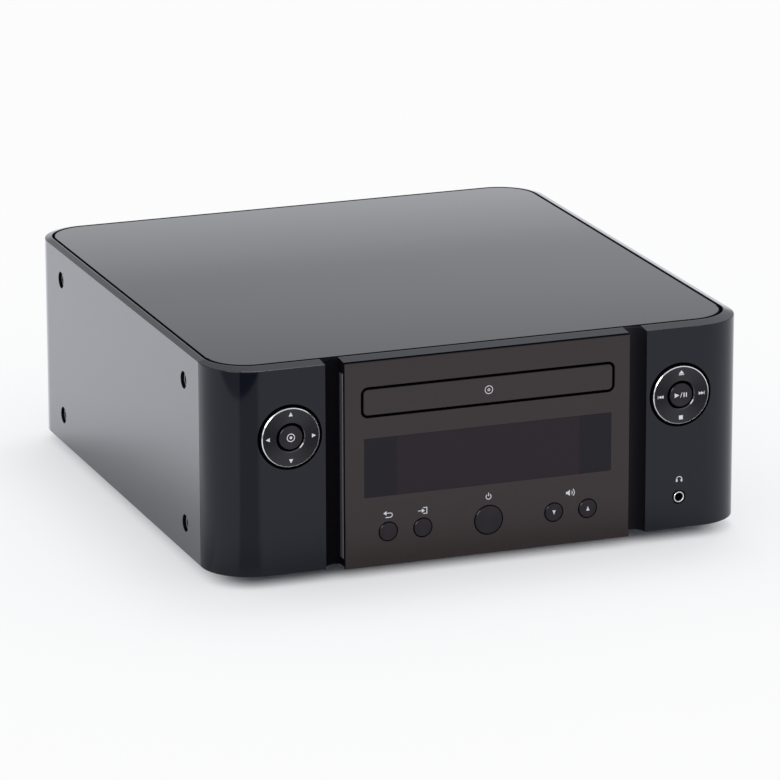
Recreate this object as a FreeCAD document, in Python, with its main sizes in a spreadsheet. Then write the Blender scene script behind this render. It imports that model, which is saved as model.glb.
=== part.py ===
import FreeCAD
import Part
import Sketcher
import math
import os

from FreeCAD import Rotation, Vector

# CD receiver, millimetres, +Z up. The front faces -Y and the viewer's right is +X.
# The origin is on the surface that the feet stand on, under the middle of the whole depth and width.

SIZES = {
    # Case: the outline of the cabinet without its feet
    "case_width": 280.0,
    "case_depth": 299.0,
    "case_height": 103.7,
    "corner_radius": 25.0,
    "foot_gap": 6.5,
    "wall": 2.5,
    "deck": 2.5,
    "rim_rise": 0.8,
    "rim_side": 3.7,
    "rim_front": 8.1,
    "rim_rear": 3.6,
    "rim_radius": 21.5,
    "rim_land": 0.5,
    "rim_round": 0.4,
    "plate_gap": 1.2,
    "plate_thick": 3.0,
    "plate_chamfer": 0.3,
    "seam_setback": 26.5,
    "seam_gap": 0.3,
    "tongue_thick": 1.5,
    "tongue_root": 4.0,
    "tongue_reach": 5.5,
    "seat_gap": 0.3,
    "fit_gap": 0.05,
    "edge_break": 0.3,
    "cut_over": 5.0,
    # Rear of the cover
    "recess_depth": 13.0,
    "rear_lip": 2.0,
    "rear_rail": 6.0,
    "terminal_proud": 3.0,
    # Screws, all of one kind
    "screw_shank": 3.0,
    "screw_length": 8.0,
    "screw_head": 7.0,
    "screw_head_high": 2.0,
    "screw_cross": 4.2,
    "screw_slot": 0.9,
    "screw_slot_deep": 1.0,
    "screw_play": 0.1,
    "side_screw_setback": 49.7,
    "side_screw_rear_setback": 48.7,
    "side_screw_low": 15.3,
    "side_screw_high": 88.6,
    "counterbore": 8.8,
    "counterbore_deep": 3.6,
    "boss_radius": 5.5,
    "boss_reach": 3.0,
    "rear_boss_width": 10.0,
    "rear_boss_long": 9.0,
    "rear_boss_high": 10.0,
    "rear_screw_inset": 40.0,
    "rear_screw_down": 5.0,
    # Front grooves and centre block
    "block_half": 75.0,
    "groove_width": 9.4,
    "groove_depth": 6.5,
    "groove_wall": 1.5,
    "block_setback": 0.4,
    "strip_thick": 1.5,
    "strip_deep": 5.1,
    "strip_inset": 0.5,
    "strip_low": 3.8,
    "strip_high": 97.8,
    # Fascia
    "fascia_thick": 2.0,
    "fascia_drop": 1.0,
    "fascia_top": 103.25,
    "fascia_side_gap": 0.1,
    "door_half": 65.45,
    "door_low": 76.25,
    "door_high": 89.45,
    "door_thick": 3.0,
    "door_corner": 2.4,
    "door_gap": 1.25,
    "slot_extra": 0.5,
    "window_half": 64.9,
    "window_low": 34.7,
    "window_high": 64.4,
    "window_thick": 1.8,
    "window_gap": 0.1,
    "aperture_inset": 2.9,
    # Keys
    "key_height": 16.3,
    "key_inner_x": 34.6,
    "key_outer_x": 52.65,
    "key_radius": 4.65,
    "power_radius": 7.25,
    "key_gap": 0.45,
    "key_proud": 0.4,
    "key_flange": 1.65,
    "key_flange_thick": 0.8,
    "key_flange_gap": 0.2,
    "key_hole_extra": 0.5,
    "key_stem": 2.0,
    "key_travel": 0.6,
    "key_slack": 0.15,
    "key_chamfer": 0.35,
    # Four-way rings
    "ring_x": 102.6,
    "ring_height": 69.3,
    "well_radius": 16.5,
    "ring_radius": 15.1,
    "ring_bore": 7.0,
    "ring_proud": 1.2,
    "ring_chamfer": 0.6,
    "ring_bore_chamfer": 0.5,
    "ring_flange": 17.2,
    "ring_flange_gap": 1.3,
    "ring_flange_thick": 0.9,
    "ring_tilt_gap": 0.7,
    "flexure_thick": 2.0,
    "flexure_outer": 17.0,
    "flexure_inner": 13.6,
    "flexure_pin": 0.6,
    "flexure_pin_reach": 1.9,
    "ring_lug_gap": 0.3,
    "ring_lug_thick": 1.0,
    "ring_lug_wide": 2.4,
    "ring_post_radius": 1.2,
    "ring_post_at": 10.2,
    "ring_post_gap": 0.35,
    "flexure_boss_gap": 0.8,
    "flexure_boss_wide": 3.0,
    "flexure_boss_high": 3.0,
    "enter_radius": 6.1,
    "enter_flange": 8.0,
    "enter_flange_gap": 0.4,
    # Headphone jack
    "jack_x": 102.5,
    "jack_height": 16.2,
    "jack_hole": 3.65,
    "jack_ring_radius": 2.75,
    "jack_ring_mouth": 2.3,
    "jack_ring_flare": 0.7,
    "jack_ring_break": 0.1,
    "jack_bore": 1.8,
    "jack_ring_proud": 0.3,
    "jack_body_wide": 12.0,
    "jack_body_high": 11.0,
    "jack_body_long": 13.2,
    "jack_end_wall": 1.2,
    # Front circuit board and its switches
    "board_thick": 1.6,
    "front_board_gap": 9.8,
    "front_board_inset": 12.0,
    "front_board_low": 17.0,
    "front_board_high": 95.0,
    "front_board_notch_half": 70.0,
    "front_board_notch_gap": 1.5,
    "jack_window_gap": 0.3,
    "front_post_inset": 21.0,
    "front_post_low": 40.0,
    "front_post_high": 90.0,
    "front_post_radius": 3.5,
    "front_post_root": 0.3,
    "switch_wide": 6.0,
    "switch_thick": 1.8,
    "plunger_radius": 1.75,
    "plunger_high": 0.8,
    "display_half": 58.0,
    "display_high": 27.0,
    "display_glass": 2.2,
    "display_step": 3.0,
    # Chassis
    "chassis_thick": 1.0,
    "chassis_inset": 0.5,
    "flange_high": 20.0,
    "upright_wide": 16.0,
    "rear_flange_high": 9.0,
    "rear_flange_inset": 22.0,
    "rear_panel_inset": 4.0,
    "rear_panel_down": 0.6,
    "vent_long": 30.0,
    "vent_wide": 3.0,
    "vent_pitch": 7.0,
    "vent_count": 9,
    "vent_reach": 29.5,
    "vent_setback": 80.0,
    "standoff_radius": 3.5,
    "standoff_high": 8.0,
    "tab_wide": 12.0,
    "tab_high": 8.0,
    "tab_screw_inset": 6.0,
    "tab_long": 20.0,
    "tab_inner_x": 40.0,
    "tab_outer_inset": 30.0,
    # Feet
    "foot_radius": 15.0,
    "foot_inset": 35.0,
    "foot_front_setback": 38.0,
    "foot_rear_setback": 39.0,
    "foot_taper": 2.0,
    "foot_bore": 4.0,
    "foot_screw_seat": 4.5,
    "pad_thick": 1.2,
    "pad_radius": 12.0,
    "pad_bore": 5.0,
    # Boards behind the disc mechanism
    "main_board_left": -40.0,
    "main_board_inset": 10.0,
    "main_board_setback": 170.0,
    "board_rear_gap": 4.0,
    "supply_board_inset": 8.0,
    "supply_board_right": -76.0,
    "supply_board_setback": 90.0,
    "board_screw_inset": 6.0,
    "transformer_wide": 34.0,
    "transformer_long": 40.0,
    "transformer_high": 28.0,
    "transformer_setback": 130.0,
    "capacitor_radius": 11.0,
    "capacitor_high": 32.0,
    "capacitor_setback": 182.0,
    "capacitor_pitch": 26.0,
    "capacitor_count": 2,
    "small_capacitor_radius": 4.0,
    "small_capacitor_high": 12.0,
    "small_capacitor_inset": 14.0,
    "small_capacitor_pitch": 12.0,
    "small_capacitor_count": 3,
    "chip_wide": 18.0,
    "chip_high": 2.4,
    "power_chip_high": 16.0,
    "chip_x": 20.0,
    "chip_pitch": 34.0,
    "chip_count": 2,
    "sink_x": 20.0,
    "sink_gap": 12.0,
    "sink_wide": 80.0,
    "sink_base": 5.0,
    "sink_high": 44.0,
    "sink_fin_thick": 2.0,
    "sink_fin_long": 20.0,
    "sink_fin_count": 9,
    # Sockets on the rear panel, heights above the resting surface
    "socket_gap": 0.3,
    "phono_left": -6.0,
    "phono_wide": 52.0,
    "phono_pitch": 16.0,
    "phono_columns": 3,
    "phono_low": 34.0,
    "phono_high": 52.0,
    "phono_block_top": 62.0,
    "phono_block_deep": 17.0,
    "phono_outer": 4.15,
    "phono_core": 3.4,
    "phono_contact": 1.6,
    "phono_contact_deep": 6.0,
    "phono_core_inset": 0.5,
    "sleeve_hole_gap": 0.75,
    "sleeve_gap": 0.1,
    "phono_long": 10.0,
    "optical_x": 56.0,
    "optical_pitch": 15.0,
    "optical_wide": 12.0,
    "optical_high": 12.0,
    "optical_deep": 15.0,
    "optical_proud": 1.6,
    "optical_mouth": 6.2,
    "optical_mouth_deep": 9.0,
    "usb_x": 87.0,
    "usb_wide": 13.6,
    "usb_high": 7.0,
    "usb_deep": 16.0,
    "usb_wall": 0.5,
    "usb_floor": 1.5,
    "usb_tongue": 1.8,
    "usb_tongue_down": 1.6,
    "usb_tongue_inset": 1.6,
    "network_x": 103.0,
    "network_wide": 15.6,
    "network_high": 13.2,
    "network_deep": 20.0,
    "network_mouth_wide": 11.8,
    "network_mouth_high": 8.2,
    "network_mouth_deep": 14.0,
    "network_mouth_low": 2.0,
    "metal_proud": 1.0,
    "tuner_x": 100.0,
    "tuner_low": 60.0,
    "tuner_wide": 26.0,
    "tuner_high": 30.0,
    "tuner_deep": 28.0,
    "aerial_outer": 4.75,
    "aerial_inner": 3.6,
    "aerial_pin": 0.6,
    "aerial_long": 10.0,
    "inlet_x": -103.0,
    "inlet_z": 32.0,
    "inlet_wide": 21.0,
    "inlet_high": 13.0,
    "inlet_deep": 16.0,
    "inlet_proud": 4.0,
    "inlet_lobe": 4.3,
    "inlet_pitch": 8.6,
    "inlet_mouth_deep": 13.0,
    "inlet_pin": 1.2,
    "inlet_pin_long": 9.0,
    "inlet_collar": 2.0,
    "inlet_collar_thick": 1.5,
    "speaker_left": -66.0,
    "speaker_low": 24.0,
    "speaker_wide": 54.0,
    "speaker_high": 24.0,
    "speaker_proud": 11.0,
    "speaker_inside": 10.0,
    "speaker_pitch": 13.0,
    "speaker_inset": 1.5,
    "lever_wide": 9.0,
    "lever_side_gap": 0.4,
    "lever_barrel": 2.3,
    "lever_pin": 1.0,
    "lever_pin_reach": 1.2,
    "lever_thick": 2.2,
    "lever_lip": 3.0,
    "lever_axis_in": 5.0,
    "lever_axis_up": 15.5,
    "lever_slot_below": 8.2,
    "lever_slot_above": 3.2,
    "lever_slot_deep": 9.0,
    "wire_hole_up": 4.4,
    "wire_hole": 1.6,
    "wire_hole_deep": 12.0,
    "contact_thick": 0.8,
    "contact_long": 6.0,
    "contact_high": 5.0,
    "panel_vent_wide": 2.6,
    "panel_vent_high": 16.0,
    "panel_vent_pitch": 6.0,
    "panel_vent_count": 14,
    "panel_vent_left": -60.0,
    "panel_vent_low": 74.0,
    # Disc mechanism
    "disc_setback": 75.0,
    "tray_half": 64.0,
    "tray_up": 3.25,
    "tray_thick": 6.0,
    "tray_rear_setback": 162.0,
    "tray_disc": 61.0,
    "tray_disc_deep": 2.5,
    "tray_small_disc": 41.0,
    "tray_small_deep": 1.0,
    "tray_slot": 18.0,
    "tray_front_gap": 0.2,
    "rack_base": 2.4,
    "rack_root": 2.0,
    "rack_inset": 2.6,
    "rack_high": 3.2,
    "rack_teeth": 45,
    "rack_addendum": 0.7,
    "dedendum": 1.25,
    "pressure_angle": 20.0,
    "tooth_module": 1.0,
    "tooth_play": 0.2,
    "flank_points": 6,
    "pinion_teeth": 12,
    "pinion_setback": 24.0,
    "pinion_axle": 1.5,
    "pinion_high": 2.7,
    "pinion_gap": 0.4,
    "pulley_radius": 9.5,
    "pulley_thick": 4.0,
    "pulley_gap": 0.7,
    "groove_high": 2.4,
    "pulley_groove": 1.0,
    "hub_radius": 3.6,
    "belt_thick": 1.2,
    "belt_high": 1.6,
    "belt_slack": 0.3,
    "loader_motor_x": -18.0,
    "loader_motor_radius": 11.0,
    "loader_motor_long": 15.0,
    "motor_pulley": 3.4,
    "motor_shaft": 1.0,
    "motor_shaft_deep": 6.0,
    "shaft_gap": 0.5,
    "loader_half": 70.0,
    "loader_front_setback": 13.2,
    "loader_rear_setback": 168.0,
    "loader_low": 62.0,
    "loader_floor": 2.5,
    "loader_wall": 3.0,
    "loader_window_half": 45.0,
    "loader_window_front_setback": 40.0,
    "loader_window_rear_setback": 158.0,
    "ledge_wide": 4.5,
    "ledge_thick": 2.0,
    "guide_gap": 0.3,
    "guide_tab_wide": 4.0,
    "guide_tab_long": 12.0,
    "guide_tab_high": 2.5,
    "guide_front_setback": 20.0,
    "guide_rear_setback": 120.0,
    "loader_leg": 4.5,
    "leg_x": 63.0,
    "leg_front_setback": 21.0,
    "leg_rear_setback": 162.0,
    "bridge_thick": 2.0,
    "bridge_above_tray": 5.6,
    "bridge_front_setback": 50.0,
    "bridge_rear_setback": 100.0,
    "bridge_hole": 15.0,
    "clamper_radius": 14.0,
    "clamper_gap": 1.3,
    "clamper_thick": 2.1,
    "clamper_neck": 10.0,
    "clamper_flange": 17.0,
    "clamper_flange_thick": 1.6,
    "clamper_recess": 8.0,
    "clamper_recess_deep": 1.7,
    "traverse_half": 40.0,
    "traverse_front_setback": 44.0,
    "traverse_low": 74.0,
    "traverse_thick": 3.0,
    "traverse_pivot_setback": 154.0,
    "traverse_pin": 2.0,
    "traverse_pin_reach": 2.5,
    "ear_inset": 0.6,
    "ear_thick": 2.4,
    "ear_half": 4.5,
    "traverse_window_half": 25.0,
    "traverse_window_front_setback": 89.0,
    "traverse_window_rear_setback": 145.5,
    "traverse_tilt": 6.0,
    "cam_pin": 1.5,
    "cam_thick": 2.2,
    "cam_gap": 0.3,
    "cam_end": 3.0,
    "cam_rail_thick": 2.0,
    "cam_rail_end": 1.0,
    "cam_lip_thick": 1.0,
    "cam_lip_high": 1.6,
    "cam_travel": 15.0,
    "cam_slot_end": 2.0,
    "cam_slot_play": 0.35,
    "spindle_motor_radius": 12.5,
    "spindle_motor_long": 9.5,
    "spindle_shaft": 1.0,
    "shaft_deep": 6.0,
    "table_radius": 13.0,
    "table_below_tray": 1.4,
    "table_thick": 1.8,
    "table_up": 3.0,
    "table_hub": 5.0,
    "table_boss": 7.3,
    "table_boss_high": 2.4,
    "rod_radius": 1.5,
    "rod_x": 20.0,
    "rod_front_setback": 84.0,
    "rod_rear_setback": 150.0,
    "rod_up": 3.5,
    "rod_holder": 4.0,
    "rod_holder_half": 3.6,
    "pickup_long": 22.0,
    "pickup_gap": 2.0,
    "pickup_up": 0.6,
    "pickup_high": 6.4,
    "pickup_half": 23.0,
    "turret_half": 7.0,
    "turret_high": 4.4,
    "lens_radius": 2.4,
    "lens_high": 0.9,
    "sled_radius": 1.5,
    "sled_x": 30.0,
    "sled_bracket_thick": 2.0,
    "sled_motor_radius": 5.0,
    "sled_motor_long": 14.0,
    "sled_motor_setback": 66.0,
    "nut_half": 3.4,
    "nut_long": 8.0,
}


class Size:
    """A length or a count: its value now and the sheet expression that it comes from."""

    def __init__(self, value, text):
        self.value = value
        self.text = text

    def joined(self, sign, other, value):
        return Size(value, f"({self.text} {sign} {other.text})")

    def __add__(self, other):
        other = as_size(other)
        return self.joined("+", other, self.value + other.value)

    def __radd__(self, other):
        return as_size(other) + self

    def __sub__(self, other):
        other = as_size(other)
        return self.joined("-", other, self.value - other.value)

    def __rsub__(self, other):
        return as_size(other) - self

    def __mul__(self, other):
        other = as_size(other)
        return self.joined("*", other, self.value * other.value)

    def __rmul__(self, other):
        return as_size(other) * self

    def __truediv__(self, other):
        other = as_size(other)
        return self.joined("/", other, self.value / other.value)

    def __neg__(self):
        return as_size(0) - self


def as_size(number):
    if isinstance(number, Size):
        return number
    return Size(float(number), str(number))


class Sheet:
    """The spreadsheet of driving sizes, each read as an attribute."""

    def __init__(self, document, sizes):
        cells = document.addObject("Spreadsheet::Sheet", "Sizes")
        for row, (name, number) in enumerate(sizes.items(), start=1):
            cells.set(f"A{row}", name)
            cells.set(f"B{row}", str(number))
            cells.setAlias(f"B{row}", name)
            setattr(self, name, Size(float(number), f"Sizes.{name}"))


doc = FreeCAD.newDocument("cd_receiver")
S = Sheet(doc, SIZES)
doc.recompute()
NODES = []


def bind(item, path, size):
    """Tie one property of a document object to the sheet."""
    item.setExpression(path, as_size(size).text)


def bind_place(item, x, y, z, path="Placement.Base"):
    bind(item, f"{path}.x", x)
    bind(item, f"{path}.y", y)
    bind(item, f"{path}.z", z)


def keep(item):
    """Mark a document object as a sub-part to export."""
    NODES.append(item)
    return item


# Sketch outlines: each function returns one that draws itself into a sketch

def hold_point(sketch, geometry, position, x, y):
    for kind, axis, size in (("DistanceX", -2, as_size(x)), ("DistanceY", -1, as_size(y))):
        if size.text == "0":
            sketch.addConstraint(Sketcher.Constraint("PointOnObject", geometry, position, axis))
            continue
        held = sketch.addConstraint(Sketcher.Constraint(kind, -1, 1, geometry, position, size.value))
        bind(sketch, f"Constraints[{held}]", size)


def circle(x, y, radius):
    def draw(sketch):
        centre = Vector(as_size(x).value, as_size(y).value, 0)
        edge = sketch.addGeometry(Part.Circle(centre, Vector(0, 0, 1), as_size(radius).value))
        hold_point(sketch, edge, 3, x, y)
        held = sketch.addConstraint(Sketcher.Constraint("Radius", edge, as_size(radius).value))
        bind(sketch, f"Constraints[{held}]", radius)
    return draw


def polygon(*corners):
    def draw(sketch):
        points = [Vector(as_size(x).value, as_size(y).value, 0) for x, y in corners]
        edges = []
        for index, point in enumerate(points):
            following = points[(index + 1) % len(points)]
            edges.append(sketch.addGeometry(Part.LineSegment(point, following)))
        for index, edge in enumerate(edges):
            following = edges[(index + 1) % len(edges)]
            sketch.addConstraint(Sketcher.Constraint("Coincident", edge, 2, following, 1))
        for edge, (x, y) in zip(edges, corners):
            hold_point(sketch, edge, 1, x, y)
    return draw


def rectangle(low_x, high_x, low_y, high_y):
    return polygon((low_x, low_y), (high_x, low_y), (high_x, high_y), (low_x, high_y))


def rounded(low_x, high_x, low_y, high_y, radius):
    """A rectangle with four equal round corners."""
    def draw(sketch):
        left, right, front, rear = (as_size(size).value for size in (low_x, high_x, low_y, high_y))
        bend = as_size(radius).value
        sides = [
            ((left + bend, front), (right - bend, front)),
            ((right, front + bend), (right, rear - bend)),
            ((right - bend, rear), (left + bend, rear)),
            ((left, rear - bend), (left, front + bend)),
        ]
        centres = [(right - bend, front + bend), (right - bend, rear - bend),
                   (left + bend, rear - bend), (left + bend, front + bend)]
        lines = []
        arcs = []
        for (start, end), centre, turn in zip(sides, centres, range(4)):
            lines.append(sketch.addGeometry(Part.LineSegment(Vector(*start, 0), Vector(*end, 0))))
            whole = Part.Circle(Vector(*centre, 0), Vector(0, 0, 1), bend)
            begin = (turn - 1) * math.pi / 2
            arcs.append(sketch.addGeometry(Part.ArcOfCircle(whole, begin, begin + math.pi / 2)))
        for turn in range(4):
            sketch.addConstraint(Sketcher.Constraint("Tangent", lines[turn], 2, arcs[turn], 1))
            sketch.addConstraint(Sketcher.Constraint("Tangent", arcs[turn], 2, lines[(turn + 1) % 4], 1))
            direction = "Horizontal" if turn % 2 == 0 else "Vertical"
            sketch.addConstraint(Sketcher.Constraint(direction, lines[turn]))
            if turn:
                sketch.addConstraint(Sketcher.Constraint("Equal", arcs[0], arcs[turn]))
        held = sketch.addConstraint(Sketcher.Constraint("Radius", arcs[0], bend))
        bind(sketch, f"Constraints[{held}]", radius)
        places = (("DistanceY", lines[0], low_y), ("DistanceX", lines[1], high_x),
                  ("DistanceY", lines[2], high_y), ("DistanceX", lines[3], low_x))
        for kind, line, size in places:
            held = sketch.addConstraint(Sketcher.Constraint(kind, -1, 1, line, 1, as_size(size).value))
            bind(sketch, f"Constraints[{held}]", size)
    return draw


def hull(first_x, first_y, first_radius, second_x, second_y, second_radius):
    """Two round ends, the second to the right of the first, joined by straight tangent sides."""
    def draw(sketch):
        ends = ((as_size(first_x), as_size(first_y), as_size(first_radius)),
                (as_size(second_x), as_size(second_y), as_size(second_radius)))
        (near_x, near_y, near_r), (far_x, far_y, far_r) = [[size.value for size in end] for end in ends]
        run = math.hypot(far_x - near_x, far_y - near_y)
        lean = math.atan2(far_y - near_y, far_x - near_x)
        spread = math.acos((near_r - far_r) / run)
        arcs = []
        for (x, y, radius), begin, end in (
                ((near_x, near_y, near_r), lean + spread, lean + 2 * math.pi - spread),
                ((far_x, far_y, far_r), lean - spread, lean + spread)):
            whole = Part.Circle(Vector(x, y, 0), Vector(0, 0, 1), radius)
            arcs.append(sketch.addGeometry(Part.ArcOfCircle(whole, begin, end)))
        tips = [sketch.getPoint(arcs[0], 2), sketch.getPoint(arcs[1], 1),
                sketch.getPoint(arcs[1], 2), sketch.getPoint(arcs[0], 1)]
        low = sketch.addGeometry(Part.LineSegment(tips[0], tips[1]))
        high = sketch.addGeometry(Part.LineSegment(tips[2], tips[3]))
        sketch.addConstraint(Sketcher.Constraint("Tangent", arcs[0], 2, low, 1))
        sketch.addConstraint(Sketcher.Constraint("Tangent", low, 2, arcs[1], 1))
        sketch.addConstraint(Sketcher.Constraint("Tangent", arcs[1], 2, high, 1))
        sketch.addConstraint(Sketcher.Constraint("Tangent", high, 2, arcs[0], 1))
        for arc, (x, y, radius) in zip(arcs, ends):
            hold_point(sketch, arc, 3, x, y)
            held = sketch.addConstraint(Sketcher.Constraint("Radius", arc, radius.value))
            bind(sketch, f"Constraints[{held}]", radius)
    return draw


# Bodies made of sketches and features

def body_named(name):
    return doc.addObject("PartDesign::Body", name)


def sketch_in(body, role, outlines, x=0, y=0, z=0):
    """A sketch on one of the body's own origin planes, moved by x, y, z in that plane's own axes."""
    plane = next(item for item in body.Origin.OriginFeatures if item.Role == role)
    sketch = body.newObject("Sketcher::SketchObject", f"{body.Name}_sketch")
    sketch.AttachmentSupport = [(plane, "")]
    sketch.MapMode = "FlatFace"
    bind_place(sketch, x, y, z, "AttachmentOffset.Base")
    for draw in outlines:
        draw(sketch)
    return sketch


def pad(body, role, outlines, start, length):
    sketch = sketch_in(body, role, outlines, z=start)
    feature = body.newObject("PartDesign::Pad", f"{body.Name}_pad")
    feature.Profile = sketch
    bind(feature, "Length", length)
    return feature


def pad_z(body, outlines, low, high):
    return pad(body, "XY_Plane", outlines, low, high - low)


def pad_y(body, outlines, front, rear):
    return pad(body, "XZ_Plane", outlines, -as_size(rear), rear - front)


def pad_x(body, outlines, left, right):
    return pad(body, "YZ_Plane", outlines, left, right - left)


def pocket(body, role, outlines, start, length):
    sketch = sketch_in(body, role, outlines, z=start)
    feature = body.newObject("PartDesign::Pocket", f"{body.Name}_pocket")
    feature.Profile = sketch
    bind(feature, "Length", length)
    return feature


def pocket_z(body, outlines, low, high):
    return pocket(body, "XY_Plane", outlines, high, high - low)


def pocket_y(body, outlines, front, rear):
    return pocket(body, "XZ_Plane", outlines, -as_size(front), rear - front)


def pocket_x(body, outlines, left, right):
    return pocket(body, "YZ_Plane", outlines, right, right - left)


def turned(body, role, corners, axis, x=0, y=0, z=0):
    """A piece turned about its sketch's own axis, from points of radius and place along that axis."""
    sketch = sketch_in(body, role, [polygon(*corners)], x, y, z)
    feature = body.newObject("PartDesign::Revolution", f"{body.Name}_turned")
    feature.Profile = sketch
    feature.ReferenceAxis = (sketch, [axis])
    feature.Angle = 360
    return feature


def turned_y(name, corners, x, z):
    body = body_named(name)
    turned(body, "XY_Plane", corners, "V_Axis", x, 0, z)
    return body


def turned_z(name, corners, x, y):
    body = body_named(name)
    turned(body, "XZ_Plane", corners, "V_Axis", x, 0, -as_size(y))
    return body


def dress(body, kind, size, wanted):
    """A fillet or chamfer on every edge of the body that the test picks."""
    doc.recompute()
    tip = body.Tip
    names = [f"Edge{index}" for index, edge in enumerate(tip.Shape.Edges, start=1) if wanted(edge)]
    feature = body.newObject(f"PartDesign::{kind}", f"{body.Name}_{kind.lower()}")
    feature.Base = (tip, names)
    bind(feature, "Radius" if kind == "Fillet" else "Size", size)
    return feature


NEARLY = 1e-3


def lies_at(axis, size):
    """A test for edges that lie wholly at one place along an axis."""
    place = as_size(size).value

    def wanted(edge):
        low = getattr(edge.BoundBox, f"{axis}Min")
        high = getattr(edge.BoundBox, f"{axis}Max")
        return abs(low - place) < NEARLY and abs(high - place) < NEARLY
    return wanted


# Plain solids and booleans

def box(name, low_x, high_x, low_y, high_y, low_z, high_z):
    item = doc.addObject("Part::Box", name)
    bind(item, "Length", high_x - low_x)
    bind(item, "Width", high_y - low_y)
    bind(item, "Height", high_z - low_z)
    bind_place(item, low_x, low_y, low_z)
    return item


UPRIGHT = Rotation()
ALONG_Y = Rotation(Vector(1, 0, 0), -90)
ALONG_X = Rotation(Vector(0, 1, 0), 90)
QUARTER = 90
QUARTER_TURN = Rotation(Vector(0, 0, 1), QUARTER)


def cylinder(name, x, y, z, radius, length, turn=UPRIGHT):
    """A cylinder from the place given along +Z, +Y or +X."""
    item = doc.addObject("Part::Cylinder", name)
    bind(item, "Radius", radius)
    bind(item, "Height", length)
    item.Placement = FreeCAD.Placement(Vector(), turn)
    bind_place(item, x, y, z)
    return item


def fuse(name, parts):
    item = doc.addObject("Part::MultiFuse", name)
    item.Shapes = parts
    return item


def cut(name, base, tools):
    tool = tools[0] if len(tools) == 1 else fuse(f"{name}_tools", tools)
    item = doc.addObject("Part::Cut", name)
    item.Base = base
    item.Tool = tool
    return item


def common(name, first, second):
    item = doc.addObject("Part::MultiCommon", name)
    item.Shapes = [first, second]
    return item


def group(name, parts):
    """Separate like pieces that share one node."""
    item = doc.addObject("Part::Compound", name)
    item.Links = parts
    return item


SIDES = ((-1, "left"), (1, "right"))


def turns(size):
    """The whole numbers below a count."""
    return range(int(size.value))


def both(side, near, far):
    """The low and high ends of a span that lies on the left (-1) or right (+1)."""
    return (near, far) if side > 0 else (-as_size(far), -as_size(near))


# Places worked out from the sizes

half_width = S.case_width / 2
wing_y = (S.fascia_thick - S.block_setback + S.key_proud - S.case_depth - S.terminal_proud) / 2
rear_y = wing_y + S.case_depth
fascia_rear = wing_y + S.block_setback
fascia_front = fascia_rear - S.fascia_thick
case_low = S.foot_gap
side_top = case_low + S.case_height
top_z = side_top + S.rim_rise
deck_top = top_z - S.plate_thick
deck_low = deck_top - S.deck
seam_y = wing_y + S.seam_setback
inner_half = half_width - S.wall
inner_radius = S.corner_radius - S.wall
opening_half = half_width - S.rim_side
opening_front = wing_y + S.rim_front
opening_rear = rear_y - S.rim_rear
panel_rear = rear_y - S.recess_depth
panel_front = panel_rear - S.chassis_thick
groove_out = S.block_half + S.groove_width
groove_floor = wing_y + S.groove_depth
wing_back = wing_y + S.wall
block_back = fascia_rear + S.wall
chassis_low = case_low + S.chassis_inset
chassis_top = chassis_low + S.chassis_thick
flange_out = inner_half - S.boss_reach - S.seat_gap
flange_in = flange_out - S.chassis_thick
beyond = S.cut_over
board_front = wing_y + S.front_board_gap
board_rear = board_front + S.board_thick
standoff_top = chassis_top + S.standoff_high
board_top = standoff_top + S.board_thick
foot_x = half_width - S.foot_inset
foot_front_y = wing_y + S.foot_front_setback
foot_rear_y = rear_y - S.foot_rear_setback
rear_screw_x = half_width - S.rear_screw_inset
front_board_half = half_width - S.front_board_inset
front_post_x = half_width - S.front_post_inset
rear_flange_half = half_width - S.rear_flange_inset
vent_front = wing_y + S.vent_setback
tab_outer_x = half_width - S.tab_outer_inset
main_board_right = half_width - S.main_board_inset
main_board_front = wing_y + S.main_board_setback
supply_board_left = S.supply_board_inset - half_width
supply_board_front = wing_y + S.supply_board_setback
transformer_y = wing_y + S.transformer_setback
capacitor_y = wing_y + S.capacitor_setback
board_end = panel_front - S.board_rear_gap
sink_y = panel_front - S.tuner_deep - S.sink_gap - S.sink_fin_long - S.sink_base
chip_y = (main_board_front + sink_y) / 2


# Screws: a pan head, a shank and a cross slot, built along +Z from the seat and then turned

def screw(name, x, y, z, turn):
    """A screw whose head sits at x, y, z; its shank runs against the turned +Z axis."""
    head = cylinder(f"{name}_head", 0, 0, 0, S.screw_head / 2, S.screw_head_high)
    shank = cylinder(f"{name}_shank", 0, 0, -S.screw_length, S.screw_shank / 2, S.screw_length)
    slots = []
    for long, wide in ((S.screw_cross / 2, S.screw_slot / 2), (S.screw_slot / 2, S.screw_cross / 2)):
        floor = S.screw_head_high - S.screw_slot_deep
        slots.append(box(f"{name}_slot", -long, long, -wide, wide, floor, S.screw_head_high + beyond))
    item = cut(name, fuse(f"{name}_blank", [head, shank]), slots)
    item.Placement = FreeCAD.Placement(Vector(), turn)
    bind_place(item, x, y, z)
    return item


HEAD_UP = Rotation()
HEAD_DOWN = Rotation(Vector(1, 0, 0), 180)
HEAD_BACK = Rotation(Vector(1, 0, 0), -90)
HEAD_LEFT = Rotation(Vector(0, 1, 0), -90)
HEAD_RIGHT = Rotation(Vector(0, 1, 0), 90)

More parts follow.
